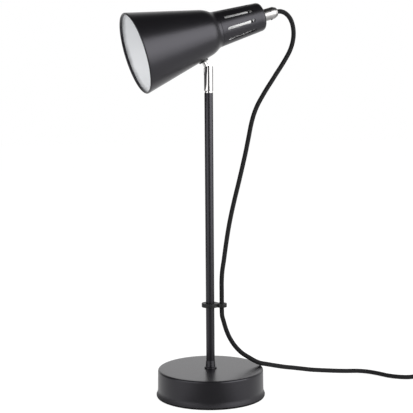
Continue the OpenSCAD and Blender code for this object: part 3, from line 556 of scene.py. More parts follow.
# Matt near-black for the underside of the base's lip: painted shade under the lip
painted_lip_shade = grained("painted_lip_shade", (0.0025, 0.0025, 0.0027), (0.004, 0.004, 0.0043),
                     0.75, 0.9, 700, 0.5, 0.0001, specular=0.15)
foam_pad = grained("foam_pad", (0.012, 0.012, 0.012), (0.02, 0.02, 0.02), 0.8, 0.92, 600, 0.6, 0.0002)
frosted_glass = make_frosted_glass()
wire_insulation = make_wire_insulation()
cord_braid = make_braid()

# Cord
CORD_SIDES = 32
CORD_STEP = 0.6
BRAID_DEPTH = 0.11


def ring_frames(line):
    """Two directions square to a line, turned as little as can be from ring to ring."""
    ahead = np.gradient(line, axis=0)
    ahead /= np.linalg.norm(ahead, axis=1)[:, None]
    side = np.zeros_like(line)
    u = np.cross(ahead[0], [0.1, 0.2, 1.0])
    for i, t in enumerate(ahead):
        u = u - (u @ t) * t
        u /= np.linalg.norm(u)
        side[i] = u
    return side, np.cross(ahead, side)


def braided_tube(name, line, even, side, other):
    """A tube whose strands stand out a little where they cross over."""
    n, rings = CORD_SIDES, len(line)
    turn = np.arange(n) / n
    strands, pitches = BRAID_STRANDS * turn[None, :], even[:, None] / BRAID_PITCH
    crossing = np.sin(pi * (strands + pitches)) * np.sin(pi * (strands - pitches))
    radius = CORD_D / 2 - BRAID_DEPTH * (1 - np.abs(crossing))
    c, s = np.cos(2 * pi * turn)[None, :, None], np.sin(2 * pi * turn)[None, :, None]
    verts = line[:, None, :] + radius[:, :, None] * (c * side[:, None, :] + s * other[:, None, :])
    verts = np.vstack([verts.reshape(-1, 3), line[:1], line[-1:]])
    i, k = np.meshgrid(np.arange(rings - 1), np.arange(n), indexing="ij")
    a, b = i * n + k, i * n + (k + 1) % n
    quads = np.stack([a, b, b + n, a + n], -1).reshape(-1, 4).tolist()
    first, last, end = rings * n, rings * n + 1, (rings - 1) * n
    caps = [[first, (k + 1) % n, k] for k in range(n)]
    caps += [[last, end + k, end + (k + 1) % n] for k in range(n)]
    mesh = bpy.data.meshes.new(name)
    mesh.from_pydata(verts.tolist(), [], quads + caps)
    layer = mesh.uv_layers.new(name="braid")
    low, high = even[i] / BRAID_PITCH, even[i + 1] / BRAID_PITCH
    near, far = k * (BRAID_STRANDS / n), (k + 1) * (BRAID_STRANDS / n)
    uv = np.zeros((len(mesh.loops), 2))
    uv[:4 * len(quads)] = np.stack([near, low, far, low, far, high, near, high], -1).reshape(-1, 2)
    layer.data.foreach_set("uv", uv.reshape(-1))
    finish_shading(mesh, 60)
    face_outwards(mesh)
    return place(mesh)


def make_cords():
    """The cord in four lengths: two upper ones, one from the clip to the switch, and the coiled rest."""
    line, at, even = smooth_line(UPPER_ROUTE + MIDDLE_ROUTE + LOWER_ROUTE, CORD_STEP)
    side, other = ring_frames(line)
    joints = [at[len(UPPER_ROUTE) - 1], at[len(UPPER_ROUTE) + len(MIDDLE_ROUTE) - 1]]
    ends = [0] + [int(np.searchsorted(even, run)) for run in joints] + [len(line) - 1]
    meshes, lines = [], []
    for name, a, b in zip(("cord_upper", "cord_middle", "cord_lower"), ends[:-1], ends[1:]):
        part = slice(a, b + 1)
        meshes.append(braided_tube(name, line[part], even[part], side[part], other[part]))
        lines.append(line[part] * MM)
    rest, _, even = smooth_line(COIL_ROUTE, CORD_STEP)
    return meshes + [braided_tube("cord_coiled", rest, even, *ring_frames(rest))], lines + [rest * MM]


cord_meshes, (upper_line, middle_line, lower_line, rest_line) = make_cords()
cord_upper = add_piece("cord_upper", cord_meshes[0], None, cord_braid, ["cord_head"])
cord_middle = add_piece("cord_middle", cord_meshes[1], None, cord_braid, ["cord_arc"])
cord_lower = add_piece("cord_lower", cord_meshes[2], "root", cord_braid, ["cord_foot"])
cord_coiled = add_piece("cord_coiled", cord_meshes[3], "root", cord_braid,
                        ["cord_lead", "cord_coil", "cord_tail"])
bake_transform(cord_upper)
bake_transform(cord_middle)


# Shade
def shoulder_line(inset, length):
    """The fall from the cone's small end, which runs out flush with the cap's front edge."""
    steps = np.linspace(0, 1, 21)
    return [(CONE_R + (CAP_R - CONE_R) * (q + q * q * (1 - q)) - inset, CONE_L + length * q) for q in steps]


def cone_line(inset, first, length):
    """The cone from a distance behind the mouth, its small end rounded over into the shoulder."""
    cone_end, fall_start = CONE_L - 6, 4
    line = [(RIM_R - inset - CONE_K * s, s) for s in np.linspace(first, cone_end, 24)]
    fall = [(r, s) for r, s in shoulder_line(inset, length) if s > CONE_L + fall_start]
    before, corner, after = (np.array(point) for point in (line[-1], (CONE_R - inset, CONE_L), fall[0]))
    bend = [tuple((1 - q) ** 2 * before + 2 * q * (1 - q) * corner + q * q * after)
            for q in np.linspace(0, 1, 11)[1:-1]]
    return line + bend + fall


CURL_R = 1.3


def make_shade():
    """Cone, shoulder and back of the shade as one sheet, with the mouth's edge curled inwards."""
    hole_r, link_hole_r, white_from, white_to = 14.05, 2.6, 3.0, CAP_S - SHADE_T + 0.1
    outer = cone_line(0, 2 * CURL_R, SHOULDER_L - 0.12)
    back = [(CAP_R - 0.1, CAP_S), (hole_r, CAP_S), (hole_r, CAP_S - SHADE_T)]
    inner = cone_line(SHADE_T, 3.6, SHOULDER_L - SHADE_T)[::-1]
    curl_middle = RIM_R - CURL_R * (CONE_K + hypot(1, CONE_K))
    curl = [(curl_middle + CURL_R * cos(a), CURL_R * (1 - sin(a)))
            for a in np.linspace(radians(205), -atan(CONE_K), 15)]
    mesh = lathe("shade_shell", outer + back + inner + curl, 192, 50)
    mesh.materials.append(black_paint)
    mesh.materials.append(white_paint)
    for face in mesh.polygons:
        c, normal = face.center, face.normal
        radial = hypot(c.x, c.y)
        on_back = c.z < white_to and radial < CAP_R - 2 and normal.z < -0.5
        inside = normal.x * c.x + normal.y * c.y < 0 or on_back
        face.material_index = int(inside and white_from < c.z < white_to and radial > hole_r + 0.15)
    hole = moved(rod(link_hole_r, -2, 4), HEAD_PLACE.inverted() @ LINK_PLACE @ shift(0, 0, LINK_L))
    return place(cut(mesh, hole), HEAD_PLACE, 50)


add_piece("shade_shell", make_shade(), "head", None, ["shade"])


# Slotted rear cap
CAP_LIP, CAP_ROUND = 1.6, 3.0
NIPPLE_HOLE_R = 5.05


def cap_radius(s):
    return CAP_R + (CAP_END_R - CAP_R) * (s - CAP_S) / CAP_L


def slot_outline(count):
    """Points round a slot, as (distance from its middle line, distance along the axis)."""
    r, half, middle = SLOT_W / 2, (SLOT_L - SLOT_W) / 2, SLOT_S + SLOT_L / 2
    part, out = count // 4, []
    for side in (1, -1):
        out += [(side * r, middle + side * half * (2 * i / part - 1)) for i in range(part)]
        out += [(side * r * cos(pi * i / part), middle + side * (half + r * sin(pi * i / part)))
                for i in range(part)]
    return out


def cap_sector():
    """One of the cap's equal sectors: rings of faces between a slot and the sector's straight edges."""
    count, rings, corner_share = 64, 5, 0.55
    low, high, middle = CAP_S + CAP_LIP, CAP_END_S - CAP_ROUND, SLOT_S + SLOT_L / 2
    half_angle, half = pi / SLOTS, (SLOT_L - SLOT_W) / 2
    inner, verts = slot_outline(count), []
    for ring in range(rings + 1):
        q = ring / rings
        for x, s in inner:
            up = s - middle
            edge = high if up > 0 else low
            stretch = 1 + (abs(edge - middle) / half - 1) * corner_share
            if abs(up) <= half + 1e-6:
                end_angle, end_s = copysign(half_angle, x), middle + up * stretch
            else:
                corner = middle + copysign(half, up) * stretch
                part = atan2(abs(up) - half, x) / pi
                end_angle = half_angle * max(-1, min(1, (0.5 - part) / 0.25))
                end_s = corner + (edge - corner) * min(1, part / 0.25, (1 - part) / 0.25)
            start_angle = x / cap_radius(s)
            angle, along = start_angle + (end_angle - start_angle) * q, s + (end_s - s) * q
            verts.append((cap_radius(along) * cos(angle), cap_radius(along) * sin(angle), along))
    edges = [(ring * count + k, ring * count + (k + 1) % count) for ring in range(rings) for k in range(count)]
    mesh = bpy.data.meshes.new("cap_sector")
    mesh.from_pydata(verts, [], [[a, b, b + count, a + count] for a, b in edges])
    mesh.update()
    return mesh


def repeat_tree(name):
    """Copies its geometry Count times, each turned by Turn about Z, moved by Step and shrunk by Shrink."""
    tree = bpy.data.node_groups.new(name, "GeometryNodeTree")
    face = tree.interface
    for way in ("INPUT", "OUTPUT"):
        face.new_socket("Geometry", in_out=way, socket_type="NodeSocketGeometry")
    ids = {}
    for label, kind in (("Count", "Int"), ("Turn", "Float"), ("Step", "Vector"), ("Shrink", "Float"),
                        ("Material", "Material")):
        ids[label] = face.new_socket(label, in_out="INPUT", socket_type="NodeSocket" + kind).identifier
    given = tree.nodes.new("NodeGroupInput").outputs
    number = tree.nodes.new("GeometryNodeInputIndex").outputs[0]
    points = linked(tree, "GeometryNodeMeshLine", {"Count": given["Count"], "Offset": given["Step"]})
    turn = linked(tree, "ShaderNodeMath", {0: number, 1: given["Turn"]}, operation="MULTIPLY")
    spin = linked(tree, "ShaderNodeCombineXYZ", {"Z": turn.outputs[0]})
    size = linked(tree, "ShaderNodeMath", {0: number, 1: given["Shrink"]}, operation="MULTIPLY_ADD")
    size.inputs[2].default_value = 1.0
    copies = linked(tree, "GeometryNodeInstanceOnPoints", {
        "Points": points.outputs["Mesh"], "Instance": given["Geometry"],
        "Rotation": spin.outputs[0], "Scale": size.outputs[0]})
    real = linked(tree, "GeometryNodeRealizeInstances", {0: copies.outputs[0]})
    paint = linked(tree, "GeometryNodeSetMaterial", {0: real.outputs[0], "Material": given["Material"]})
    linked(tree, "NodeGroupOutput", {0: paint.outputs[0]})
    return tree, ids


repeat_group, repeat_ids = repeat_tree("repeat_along")


def repeated(mesh, count, material, turn=0.0, step=(0, 0, 0), shrink=0.0):
    holder = new_object("holder", mesh)
    modifier = holder.modifiers.new("repeat", "NODES")
    modifier.node_group = repeat_group
    for label, value in (("Count", count), ("Turn", turn), ("Step", step), ("Shrink", shrink),
                         ("Material", material)):
        modifier[repeat_ids[label]] = value
    return taken_from(holder)


def joined(name, meshes):
    """One mesh from several, each keeping its own materials."""
    bm = bmesh.new()
    materials = []
    for mesh in meshes:
        start = len(bm.faces)
        bm.from_mesh(mesh)
        bm.faces.ensure_lookup_table()
        slots = []
        for m in mesh.materials:
            if m not in materials:
                materials.append(m)
            slots.append(materials.index(m))
        for f in bm.faces[start:]:
            f.material_index = slots[f.material_index] if slots else 0
    out = bpy.data.meshes.new(name)
    bm.to_mesh(out)
    bm.free()
    for m in materials:
        out.materials.append(m)
    return out


def make_cap():
    """The slotted wall as one skin with its front lip and its rear end, then given its thickness."""
    wall = repeated(cap_sector(), SLOTS, black_paint, turn=2 * pi / SLOTS)
    bm = bmesh.new()
    bm.from_mesh(wall)
    bmesh.ops.remove_doubles(bm, verts=bm.verts, dist=1e-4)

    def extend(level, profile):
        """Draws the skin on from its edge at a level, through rings of (radius, height)."""
        edge = [v for v in bm.verts if abs(v.co.z - level) < 1e-3]
        ring = sorted(edge, key=lambda v: atan2(v.co.y, v.co.x))
        for r, z in profile:
            out = [hypot(v.co.x, v.co.y) for v in ring]
            new = [bm.verts.new((v.co.x / d * r, v.co.y / d * r, z)) for v, d in zip(ring, out)]
            for i in range(len(ring)):
                j = (i + 1) % len(ring)
                bm.faces.new([ring[i], ring[j], new[j], new[i]])
            ring = new

    extend(CAP_S + CAP_LIP, [(cap_radius(CAP_S + 0.7), CAP_S + 0.7), (CAP_R - 0.04, CAP_S + 0.2),
                             (CAP_R - 0.1, CAP_S + 0.06), (CAP_R - 0.22, CAP_S)])
    middle_r, middle_s = CAP_END_R - CAP_ROUND, CAP_END_S - CAP_ROUND
    rounding = [(middle_r + CAP_ROUND * cos(a), middle_s + CAP_ROUND * sin(a))
                for a in np.radians(np.arange(12, 91, 13))]
    extend(middle_s, rounding + [(11.0, CAP_END_S), (NIPPLE_HOLE_R, CAP_END_S)])
    bmesh.ops.recalc_face_normals(bm, faces=bm.faces)
    bm.to_mesh(wall)
    bm.free()
    far = max(wall.polygons, key=lambda f: hypot(f.center.x, f.center.y))
    if far.normal.x * far.center.x + far.normal.y * far.center.y < 0:
        wall.flip_normals()
    mesh = baked(wall, "SOLIDIFY", thickness=SHADE_T, offset=-1.0, use_even_offset=True)
    return place(bevelled(mesh, 0.18, 2, 50), HEAD_PLACE @ turned(pi + SLOT_TURN, "Z"), 40)


add_piece("slotted_cap", make_cap(), "head", black_paint, ["rear_cap"])


# Gland and its screw
GLAND_PLACE = HEAD_PLACE @ shift(0, 0, CAP_END_S)
SCREW_PLACE = shift(0, 0, GLAND_L - 9.4) @ turned(radians(-15), "Z") @ turned(pi / 2, "Y")


def make_gland():
    seat, bore, screw_hole_r, back_r = 7.2, CORD_D / 2 + 1.45, 1.55, 5.05
    outline = fillet([
        (back_r, 0, 0), (GLAND_R, 0, 0.5), (GLAND_R, GLAND_L - 5, 0.8), (GLAND_R - 0.45, GLAND_L - 3.6, 0.6),
        (GLAND_MOUTH_R + 0.25, GLAND_L - 0.4, 0.5), (GLAND_MOUTH_R - 0.3, GLAND_L, 0.3),
        (bore, GLAND_L, 0.2), (bore, seat, 0), (back_r, seat, 0)])
    mesh = cut(lathe("gland_body", outline, 96), moved(rod(screw_hole_r, 0, 12), SCREW_PLACE))
    return place(bevelled(mesh, 0.12, 2, 60), GLAND_PLACE, 35)


def make_gland_screw():
    inside, top, r, socket_r = CORD_D / 2 + 1.5, GLAND_R + 0.5, 1.5, 0.78
    outline = fillet([(0, inside, 0), (r, inside, 0.3), (r, top, 0.25), (0, top, 0)])
    hexagon = [(socket_r * cos(a), socket_r * sin(a)) for a in np.radians(range(0, 360, 60))]
    mesh = cut(lathe("gland_screw_body", outline, 48), prism("socket", hexagon, top - 1.4, top + 1))
    return place(mesh, GLAND_PLACE @ SCREW_PLACE, 35)


add_piece("gland_body", make_gland(), "head", satin_chrome, ["cord_gland"])
add_piece("gland_screw_body", make_gland_screw(), "head", black_metal, ["gland_screw"])


# Base, pole and collar
def make_base_shell():
    wall, rounding, flare_h, lip_h, hole_r = 1.2, 2.5, 10.0, 2.7, 3.05
    arc = [(BASE_R - rounding + rounding * sin(a), BASE_H - rounding + rounding * cos(a))
           for a in np.radians(range(0, 91, 10))]
    flare = [(BASE_R + 0.3 + (LIP_R - BASE_R - 0.3) * q * q, flare_h + (lip_h - flare_h) * q)
             for q in np.linspace(0, 1, 12)]
    lip = [(LIP_R - d, z) for d, z in ((0.04, 1.7), (0.2, 1.1), (0.45, 0.6), (1.1, 0.5), (wall, 1.2))]
    inner = [(r - wall, z) for r, z in flare[::-1]]
    inner += [(r - wall, z) if i < 5 else (r - 0.4, z - wall) for i, (r, z) in enumerate(arc[:4:-1])]
    inner += [(BASE_R - rounding, BASE_H - wall), (hole_r, BASE_H - wall)]
    top = [(hole_r, BASE_H), (30, BASE_H), (60, BASE_H)]
    mesh = lathe("base_shell", top + arc + flare + lip + inner, 192, 40)
    mesh.materials.append(base_paint)
    mesh.materials.append(painted_lip_shade)
    # Faces below the lip take the matt near-black: painted shade under the lip
    for face in mesh.polygons:
        face.material_index = int(face.center.z < lip_h)
    return place(mesh)


def add_turned(name, outline, turns, material, replaces):
    """A piece turned from one outline with rounded corners."""
    return add_piece(name, place(lathe(name, fillet(outline), turns)), "root", material, replaces)


add_piece("base_shell", make_base_shell(), "root", None, ["base_cover"])
add_turned("pole_shell", [
    (POLE_BORE_R, BASE_H, 0), (POLE_R, BASE_H, 0.2), (POLE_R, POLE_TOP, 0.25), (POLE_BORE_R, POLE_TOP, 0.15),
], 64, black_paint, ["pole_tube"])
low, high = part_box("foot_collar")
collar_r, collar_bore_r, collar_top = high.x / MM, POLE_R + 0.05, BASE_H + (high.z - low.z) / MM
add_turned("collar_ring", [
    (collar_bore_r, BASE_H, 0), (collar_r, BASE_H, 0.15), (collar_r, BASE_H + 1.7, 0.9),
    (POLE_R + 0.85, BASE_H + 2.5, 0.6), (POLE_R + 0.35, collar_top, 0.25), (collar_bore_r, collar_top, 0),
], 96, black_paint, ["foot_collar"])
BUSH_FOOT, BUSH_TOP, BUSH_BORE_R, BUSH_R, BUSH_RIM_R = POLE_TOP - 16, POLE_TOP + 2.4, 3.05, 4.7, 5.15
add_turned("top_bush", [
    (BUSH_BORE_R, BUSH_FOOT, 0), (BUSH_R, BUSH_FOOT, 0.2), (BUSH_R, POLE_TOP, 0), (BUSH_RIM_R, POLE_TOP, 0.1),
    (BUSH_RIM_R, BUSH_TOP, 0.25), (BUSH_BORE_R, BUSH_TOP, 0.1),
], 96, chrome, ["pole_top_bush"])


# Knuckle, link and washers
def make_knuckle():
    r, low, top, far = 6.0, POLE_TOP + 2.5, PIVOT_Z, 9
    slot_half, slot_depth, stem_r, stem_low = 2.3, 5.9, 3.0, 369.6
    outline = fillet([(0, low, 0), (r, low, 0.6), (r, top + r + 2, 0), (0, top + r + 2, 0)])
    # the rounded top, as the waste that is cut away round it
    arch = [(-far, top), (-r, top)] + [(-r * cos(a), top + r * sin(a)) for a in np.radians(range(8, 180, 8))]
    arch += [(r, top), (far, top), (far, top + 12), (-far, top + 12)]
    bar = cut(lathe("knuckle_bar", outline, 96), moved(prism("waste", arch, -10, 10), turned(pi / 2, "X")))
    bar = bevelled(cut(bar, block(10, slot_half, top - slot_depth, top + 14)), 0.3, 3, 50)
    stem = lathe("stem", [(0, stem_low), (stem_r - 0.3, stem_low), (stem_r, stem_low + 0.4),
                          (stem_r, low + 0.3), (0, low + 0.3)], 48)
    return place(joined("knuckle_body", [bar, stem]), None, 38)


def make_link():
    """The tongue on the pin, its round stem and the threaded end."""
    half_t, eye_r, hole_r, stem_r, flange_r, thread_r, shoulder = 1.8, 5.6, 2.05, 3.0, 3.9, 2.5, LINK_L - 1.6
    eye = fillet([(hole_r, -half_t, 0.1), (eye_r, -half_t, 0.3), (eye_r, half_t, 0.3), (hole_r, half_t, 0.1)])
    tongue = moved(lathe("tongue", eye, 64), turned(pi / 2, "X"))
    neck = bevelled(block(3, half_t, 2.4, 7.2), 0.3)
    stem = lathe("stem", fillet([
        (0, 6.5, 0), (stem_r, 6.5, 0.4), (stem_r, shoulder - 1.8, 0.8), (flange_r, shoulder - 0.3, 0.2),
        (flange_r, shoulder, 0), (0, shoulder, 0)]), 64)
    ridges = [(thread_r - 0.22 * (i % 2), shoulder + 0.4 * i) for i in range(21)]
    core = [(0, shoulder - 0.1), (thread_r - 0.1, shoulder - 0.1)]
    thread = lathe("thread", core + ridges + [(0, shoulder + 8.6)], 48)
    return place(joined("link_body", [tongue, neck, stem, thread]), LINK_PLACE, 35)


add_piece("knuckle_body", make_knuckle(), "knuckle", chrome, ["knuckle_fork"])
add_piece("link_body", make_link(), "head", chrome, ["knuckle_link"])


# Cord clip
def make_clip():
    """Two rings moulded together, their outline drawn in between them."""
    pole_ring_r, cord_ring_r, waist_x, waist = 11.0, 6.6, 10.6, 4.2

    def ring(x, r, turn, gap, count):
        """Points round a ring, but for a gap on the side at an angle."""
        angles = radians(turn + gap) + radians(360 - 2 * gap) * np.arange(count) / (count - 1)
        return [(x + r * cos(a), r * sin(a)) for a in angles]

    big, small = ring(0, pole_ring_r, 0, 38, 48), ring(CLIP_REACH, cord_ring_r, 180, 50, 32)
    outline = big + [(waist_x, -waist)] + small + [(waist_x, waist)]
    plate = prism("plate", outline, -CLIP_T / 2, CLIP_T / 2)
    for x, r in ((0, POLE_R + 0.05), (CLIP_REACH, CORD_D / 2 + 0.3)):
        plate = cut(plate, moved(rod(r, -6, 6, 48), shift(x, 0, 0)))
    return place(bevelled(plate, 0.9, 4, 60), shift(0, 0, CLIP_Z) @ turned(CLIP_TURN, "Z"), 60)


add_piece("clip_rings", make_clip(), "clip", black_rubber, ["cord_clip"])


# Switch
SWITCH_PLACE = shift(*switch_line(SWITCH_RELIEF, 0)) @ turned(SWITCH_HEADING, "Z")
RIB_TAPER = -0.035


def mirrored(lower):
    """A corner list (x, y, radius) closed by its own mirror image across y = 0."""
    return lower + [(x, -y, r) for x, y, r in lower[::-1]]


def switch_plan(d=0.0):
    """The switch seen from above, drawn in by a distance."""
    half, nip = SWITCH_W / 2, 6
    return fillet(mirrored([(d, nip - half, 2), (nip, d - half, 2.5), (SWITCH_L - nip, d - half, 2.5),
                            (SWITCH_L - d, nip - half, 2)]), 3)


def make_switch_half(upper):
    mid, wall, middle, split = SWITCH_H / 2, 1.8, SWITCH_L / 2, 0.05
    cord_hole_r, window_l, window_w, seat_r, seat_depth = 3.05, 8.6, 4.8, 2.7, 1.2
    low, high = (mid + split, SWITCH_H) if upper else (0, mid - split)
    shell = bevelled(prism("shell", switch_plan(), low, high), 1.1 if upper else 0.7, 3, 60)
    hollow = (low - 2, high - wall) if upper else (wall, high + 2)
    shell = cut(shell, prism("hollow", switch_plan(wall), *hollow))
    shell = cut(shell, moved(rod(cord_hole_r, -2, SWITCH_L + 2), shift(0, 0, mid) @ turned(pi / 2, "Y")))
    if upper:
        window = fillet(mirrored([(middle - window_l, -window_w, 0.6), (middle + window_l, -window_w, 0.6)]), 3)
        shell = cut(shell, prism("window", window, mid + 4, SWITCH_H + 3))
    else:
        for x, y in ((11, -6), (SWITCH_L - 11, 6)):
            shell = cut(shell, moved(rod(seat_r, -1, seat_depth), shift(x, y, 0)))
    return place(shell, SWITCH_PLACE, 35)


def make_rocker():
    across, half_l, half_w, pin_r, pin_half = turned(pi / 2, "X"), 7.6, 4.5, 1.2, 6.8
    tilt, sunk = radians(8), 4.5
    outline = fillet([(-half_l, -2, 0), (half_l, -2, 0), (half_l, 5, 0.8), (half_l / 2, 4, 4), (0, 3.6, 6),
                      (-half_l / 2, 4, 4), (-half_l, 5, 0.8)], 4)
    bar = bevelled(moved(prism("bar", outline, -half_w, half_w), across), 0.35, 2, 50)
    rib = bevelled(block(0.35, 3.2, 4.0, 4.75), 0.15, 2, 50)
    ribs = moved(repeated(rib, 3, gloss_black, step=(1.3, 0, 0.1)), shift(3.6, 0, 0))
    pivot = fillet([(0, -pin_half, 0), (pin_r, -pin_half, 0.2), (pin_r, pin_half, 0.2), (0, pin_half, 0)])
    trunnion = moved(lathe("trunnion", pivot, 32), across)
    for mesh in (bar, trunnion):
        mesh.materials.append(gloss_black)
    seat = SWITCH_PLACE @ shift(SWITCH_L / 2, 0, SWITCH_H - sunk) @ turned(tilt, "Y")
    return place(joined("rocker_key", [bar, ribs, trunnion]), seat, 35)


def make_switch_reliefs():
    """A ribbed tapered sleeve at each end of the switch."""
    parts, end = [], SWITCH_RELIEF
    core = fillet([(2.4, -3.3, 0), (4.4, -3.3, 0), (4.4, -1.85, 0), (3, -1.85, 0), (3, 0, 0), (4.3, 0, 0.2),
                   (4.0, 1.4, 0.3), (3.15, end, 0.3), (2.4, end, 0)])
    ring = fillet([(3.0, 0, 0), (4.1, 0, 0.25), (4.1, 0.9, 0.25), (3.0, 0.9, 0)])
    for x, way in ((0, -1), (SWITCH_L, 1)):
        sleeve = lathe("sleeve", core, 48)
        sleeve.materials.append(black_plastic)
        ribs = repeated(lathe("rib", ring, 48), 5, black_plastic, step=(0, 0, 1.6), shrink=RIB_TAPER)
        mesh = joined("relief", [sleeve, moved(ribs, shift(0, 0, 1.9))])
        parts.append(moved(mesh, shift(x, 0, SWITCH_H / 2) @ turned(way * pi / 2, "Y")))
    return place(joined("switch_sleeves", parts), SWITCH_PLACE, 35)


def add_moulded(name, mesh, node):
    return add_piece(name, mesh, "root", black_plastic, [node])


switch_top = add_moulded("switch_top", make_switch_half(True), "switch_upper")
switch_bottom = add_moulded("switch_bottom", make_switch_half(False), "switch_lower")
rocker_key = add_piece("rocker_key", make_rocker(), "rocker", gloss_black, ["switch_rocker"])
switch_sleeves = add_moulded("switch_sleeves", make_switch_reliefs(), "switch_reliefs")

# Plug
PLUG_PLACE = shift(*PLUG_AT) @ turned(atan2(PLUG_HEADING[1], PLUG_HEADING[0]), "Z")
PLUG_FACE = PLUG_RELIEF + PLUG_BODY
PLUG_RIB_TAPER = -0.036


def make_plug():
    """The flat moulded body, its grip ribs and the ringed strain relief."""
    near, far, half_t, turn = PLUG_RELIEF, PLUG_FACE, PLUG_T / 2, turned(pi / 2, "Y")
    side = [(near, -5.5, 2), (near + 8, -14.1, 4), (near + 14, -17.6, 4),
            (far - 8, -17.6, 3), (far, -13.8, 1)]
    body = bevelled(prism("body", fillet(mirrored(side), 5), -half_t, half_t), 2.2, 4, 60)
    sleeve = fillet([(0, 0, 0), (3.35, 0, 0.4), (4.7, near + 1, 0), (0, near + 1, 0)])
    cone = moved(lathe("cone", sleeve, 48), turn)
    rib = lathe("rib", fillet([(4.0, 0, 0), (5.6, 0, 0.4), (5.6, 1.5, 0.4), (4.0, 1.5, 0)]), 48)
    ribs = repeated(rib, 9, black_plastic, step=(0, 0, -2.9), shrink=PLUG_RIB_TAPER)
    ribs = moved(moved(ribs, shift(0, 0, near - 3)), turn)
    grip = bevelled(block(0.6, 6, 0.2 - half_t, half_t - 0.05), 0.3, 2, 50)
    grips = moved(repeated(grip, 5, black_plastic, step=(2.6, 0, 0)), shift(near + 15, 0, 0))
    for mesh in (body, cone):
        mesh.materials.append(black_plastic)
    return place(joined("plug_shell", [body, cone, ribs, grips]), PLUG_PLACE, 35)


def make_plug_pins(sleeves):
    pin_r, neck_r, sleeve_bore_r, sleeve_l, inside, tip, spacing = 2.0, 1.6, 1.65, 10, -11.9, 19, 19.0
    if sleeves:
        outline = fillet([(sleeve_bore_r, 0, 0), (pin_r, 0, 0), (pin_r, sleeve_l, 0.15),
                          (sleeve_bore_r, sleeve_l, 0)])
    else:
        outline = fillet([(0, inside, 0), (neck_r, inside, 0.1), (neck_r, sleeve_l, 0), (pin_r, sleeve_l, 0),
                          (pin_r, tip - 0.4, 1.2), (0, tip, 0)])
    pins = [moved(lathe("pin", outline, 40), shift(PLUG_FACE, y, 0) @ turned(pi / 2, "Y"))
            for y in (-spacing / 2, spacing / 2)]
    return place(joined("pins", pins), PLUG_PLACE, 35)


plug_shell = add_moulded("plug_shell", make_plug(), "plug_body")
pin_pair = add_piece("pin_pair", make_plug_pins(False), "root", nickel, ["plug_pins"])
pin_sleeves = add_moulded("pin_sleeves", make_plug_pins(True), "plug_sleeves")

# Finishes of the CAD parts that stay
NODE_FINISHES = (
    (zinc, "foot_stud foot_washer foot_nut pole_foot_bush swivel_washer swivel_nut link_lock_washer"),
    (zinc, "link_nut nipple nipple_nut switch_screws"), (brass, "holder_shell holder_contacts switch_contacts"),
    (chrome, "knuckle_pin"), (black_plastic, "knuckle_washers"), (black_metal, "shade_washer"),
    (white_plastic, "shade_ring bulb_collar"), (porcelain, "holder_body"), (dull_steel, "holder_dome"),
    (black_rubber, "holder_gasket gland_bush"), (wire_insulation, "holder_leads switch_wires"),
    (frosted_glass, "bulb_globe"), (bright_steel, "bulb_cap"), (cast_iron, "base_weight"),
    (foam_pad, "base_pad"))
for finish, names in NODE_FINISHES:
    for name in names.split():
        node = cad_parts[name]
        node.data.materials.clear()
        node.data.materials.append(finish)


# Floor, backdrop and light
FLOOR_SHARE, FLOOR_SEEN_GLOW = 0.75, 1.18
FLOOR_NEAR_CAMERA, FLOOR_ASIDE = 0.28, 0.86
FLOOR_LIT, FLOOR_SIZE = 1.05, 12.0
WALL_BEHIND, WALL_RIGHT = 175, 115
WHITE, FLOOR_MATT = (1, 1, 1, 1), (0.86, 0.86, 0.86, 1)


def camera_side(angle):
    """The level direction at an angle to the camera's side of the lamp, positive to the camera's right."""
    a = atan2(-CAMERA_AHEAD.y, -CAMERA_AHEAD.x) + radians(angle)
    return Vector((cos(a), sin(a), 0))


def ray_kinds(tree):
    """Sockets for the rays of metal and paint, and for those of the camera, also through glass."""
    path = tree.nodes.new("ShaderNodeLightPath").outputs
    return path["Is Glossy Ray"], combine(tree, "MAXIMUM", path["Is Camera Ray"], path["Is Transmission Ray"])


def wall_level(tree, direction):
    """How bright the studio's walls are: bright behind the lamp, grey to the right, dark elsewhere."""
    behind = toward(tree, direction, tuple(camera_side(WALL_BEHIND)))
    right = toward(tree, direction, tuple(camera_side(WALL_RIGHT)))
    behind, right = remap(tree, behind, 0.10, 1.2, 0.5, 0.92), remap(tree, right, 0.0, 0.5, 0.70, 0.92)
    return combine(tree, "MAXIMUM", behind, right)


def bare_tree(owner, output):
    """An empty node tree of a material or a world, and its output's surface socket."""
    owner.use_nodes = True
    tree = owner.node_tree
    tree.nodes.clear()
    return tree, tree.nodes.new(output).inputs["Surface"]


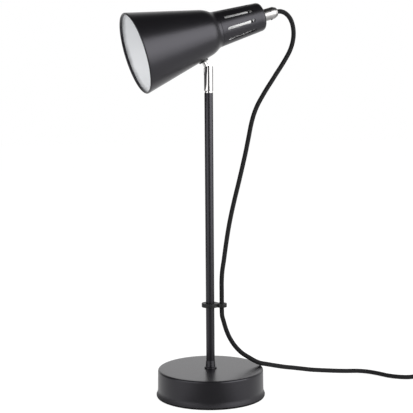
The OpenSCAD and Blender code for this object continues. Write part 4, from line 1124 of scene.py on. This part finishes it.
def make_floor():
    """A pale floor, part glow and part matt to keep a shadow; metal sees it darker near the camera."""
    mesh = bpy.data.meshes.new("floor")
    corners = [(x * FLOOR_SIZE, y * FLOOR_SIZE, 0) for x, y in ((-1, -1), (1, -1), (1, 1), (-1, 1))]
    mesh.from_pydata(corners, [], [[0, 1, 2, 3]])
    floor = new_object("floor", mesh)
    material = bpy.data.materials.new("floor_white")
    tree, surface = bare_tree(material, "ShaderNodeOutputMaterial")
    glossy, seen = ray_kinds(tree)
    where = own_place(tree)
    way = linked(tree, "ShaderNodeVectorMath", {0: where}, operation="NORMALIZE").outputs["Vector"]
    near = remap(tree, toward(tree, way, tuple(-CAMERA_AHEAD)), FLOOR_ASIDE, FLOOR_NEAR_CAMERA, 0.7, 0.93)
    distance = linked(tree, "ShaderNodeVectorMath", {0: where}, operation="LENGTH").outputs["Value"]
    far = remap(tree, distance, 0, 1, FLOOR_LIT, FLOOR_LIT + 0.25)
    mirrored_floor = combine(tree, "MULTIPLY", near, combine(tree, "SUBTRACT", 1.0, far))
    mirrored_wall = combine(tree, "MULTIPLY", wall_level(tree, way), far)
    in_mirrors = combine(tree, "MULTIPLY", combine(tree, "ADD", mirrored_floor, mirrored_wall), glossy)
    level = combine(tree, "ADD", in_mirrors, combine(tree, "MULTIPLY", seen, FLOOR_SEEN_GLOW))
    diffuse = linked(tree, "ShaderNodeBsdfDiffuse", Color=FLOOR_MATT)
    glow = linked(tree, "ShaderNodeEmission", {"Strength": level}, Color=WHITE)
    share = combine(tree, "MAXIMUM", glossy, combine(tree, "MULTIPLY", seen, FLOOR_SHARE))
    mix = linked(tree, "ShaderNodeMixShader", {"Fac": share, 1: diffuse.outputs[0], 2: glow.outputs[0]})
    tree.links.new(mix.outputs[0], surface)
    mesh.materials.append(material)


def make_world():
    """White for the camera; for metal and paint white behind the lamp, dark overhead and round the camera."""
    world = bpy.data.worlds.new("studio")
    bpy.context.scene.world = world
    tree, surface = bare_tree(world, "ShaderNodeOutputWorld")
    glossy, seen = ray_kinds(tree)
    where = tree.nodes.new("ShaderNodeTexCoord").outputs["Generated"]
    ceiling = remap(tree, toward(tree, where, (0, 0, 1)), 1.0, 0.10, 0.55, 0.85)
    level = combine(tree, "MULTIPLY", wall_level(tree, where), ceiling)
    soft = linked(tree, "ShaderNodeBackground", Color=WHITE, Strength=0.55)
    mirror = linked(tree, "ShaderNodeBackground", {"Strength": level}, Color=WHITE)
    white = linked(tree, "ShaderNodeBackground", Color=WHITE, Strength=1.0)
    first = linked(tree, "ShaderNodeMixShader", {"Fac": glossy, 1: soft.outputs[0], 2: mirror.outputs[0]})
    second = linked(tree, "ShaderNodeMixShader", {"Fac": seen, 1: first.outputs[0], 2: white.outputs[0]})
    tree.links.new(second.outputs[0], surface)


def softbox(name, angle, half_angle, distance, low, high, brightness):
    """An upright soft light round the lamp, at an angle to the camera's side."""
    way = camera_side(angle)
    width, height = 2 * distance * tan(radians(half_angle)), high - low
    data = bpy.data.lights.new(name, "AREA")
    data.shape = "RECTANGLE"
    data.size, data.size_y = width, height
    data.energy = brightness * pi * width * height
    light = new_object(name, data)
    middle = way * distance + Vector((0, 0, (low + high) / 2))
    light.matrix_world = shift(*middle) @ way.to_track_quat("Z", "Y").to_matrix().to_4x4()
    light.visible_camera = False


make_floor()
make_world()
softbox("right_box", angle=58, half_angle=30, distance=1.2, low=0.35, high=1.35, brightness=3.8)
softbox("right_low_box", angle=58, half_angle=30, distance=1.2, low=0.01, high=0.35, brightness=2.5)
softbox("left_box", angle=-49, half_angle=28, distance=1.2, low=0.01, high=1.5, brightness=1.8)

bpy.context.scene.view_settings.view_transform = "Standard"
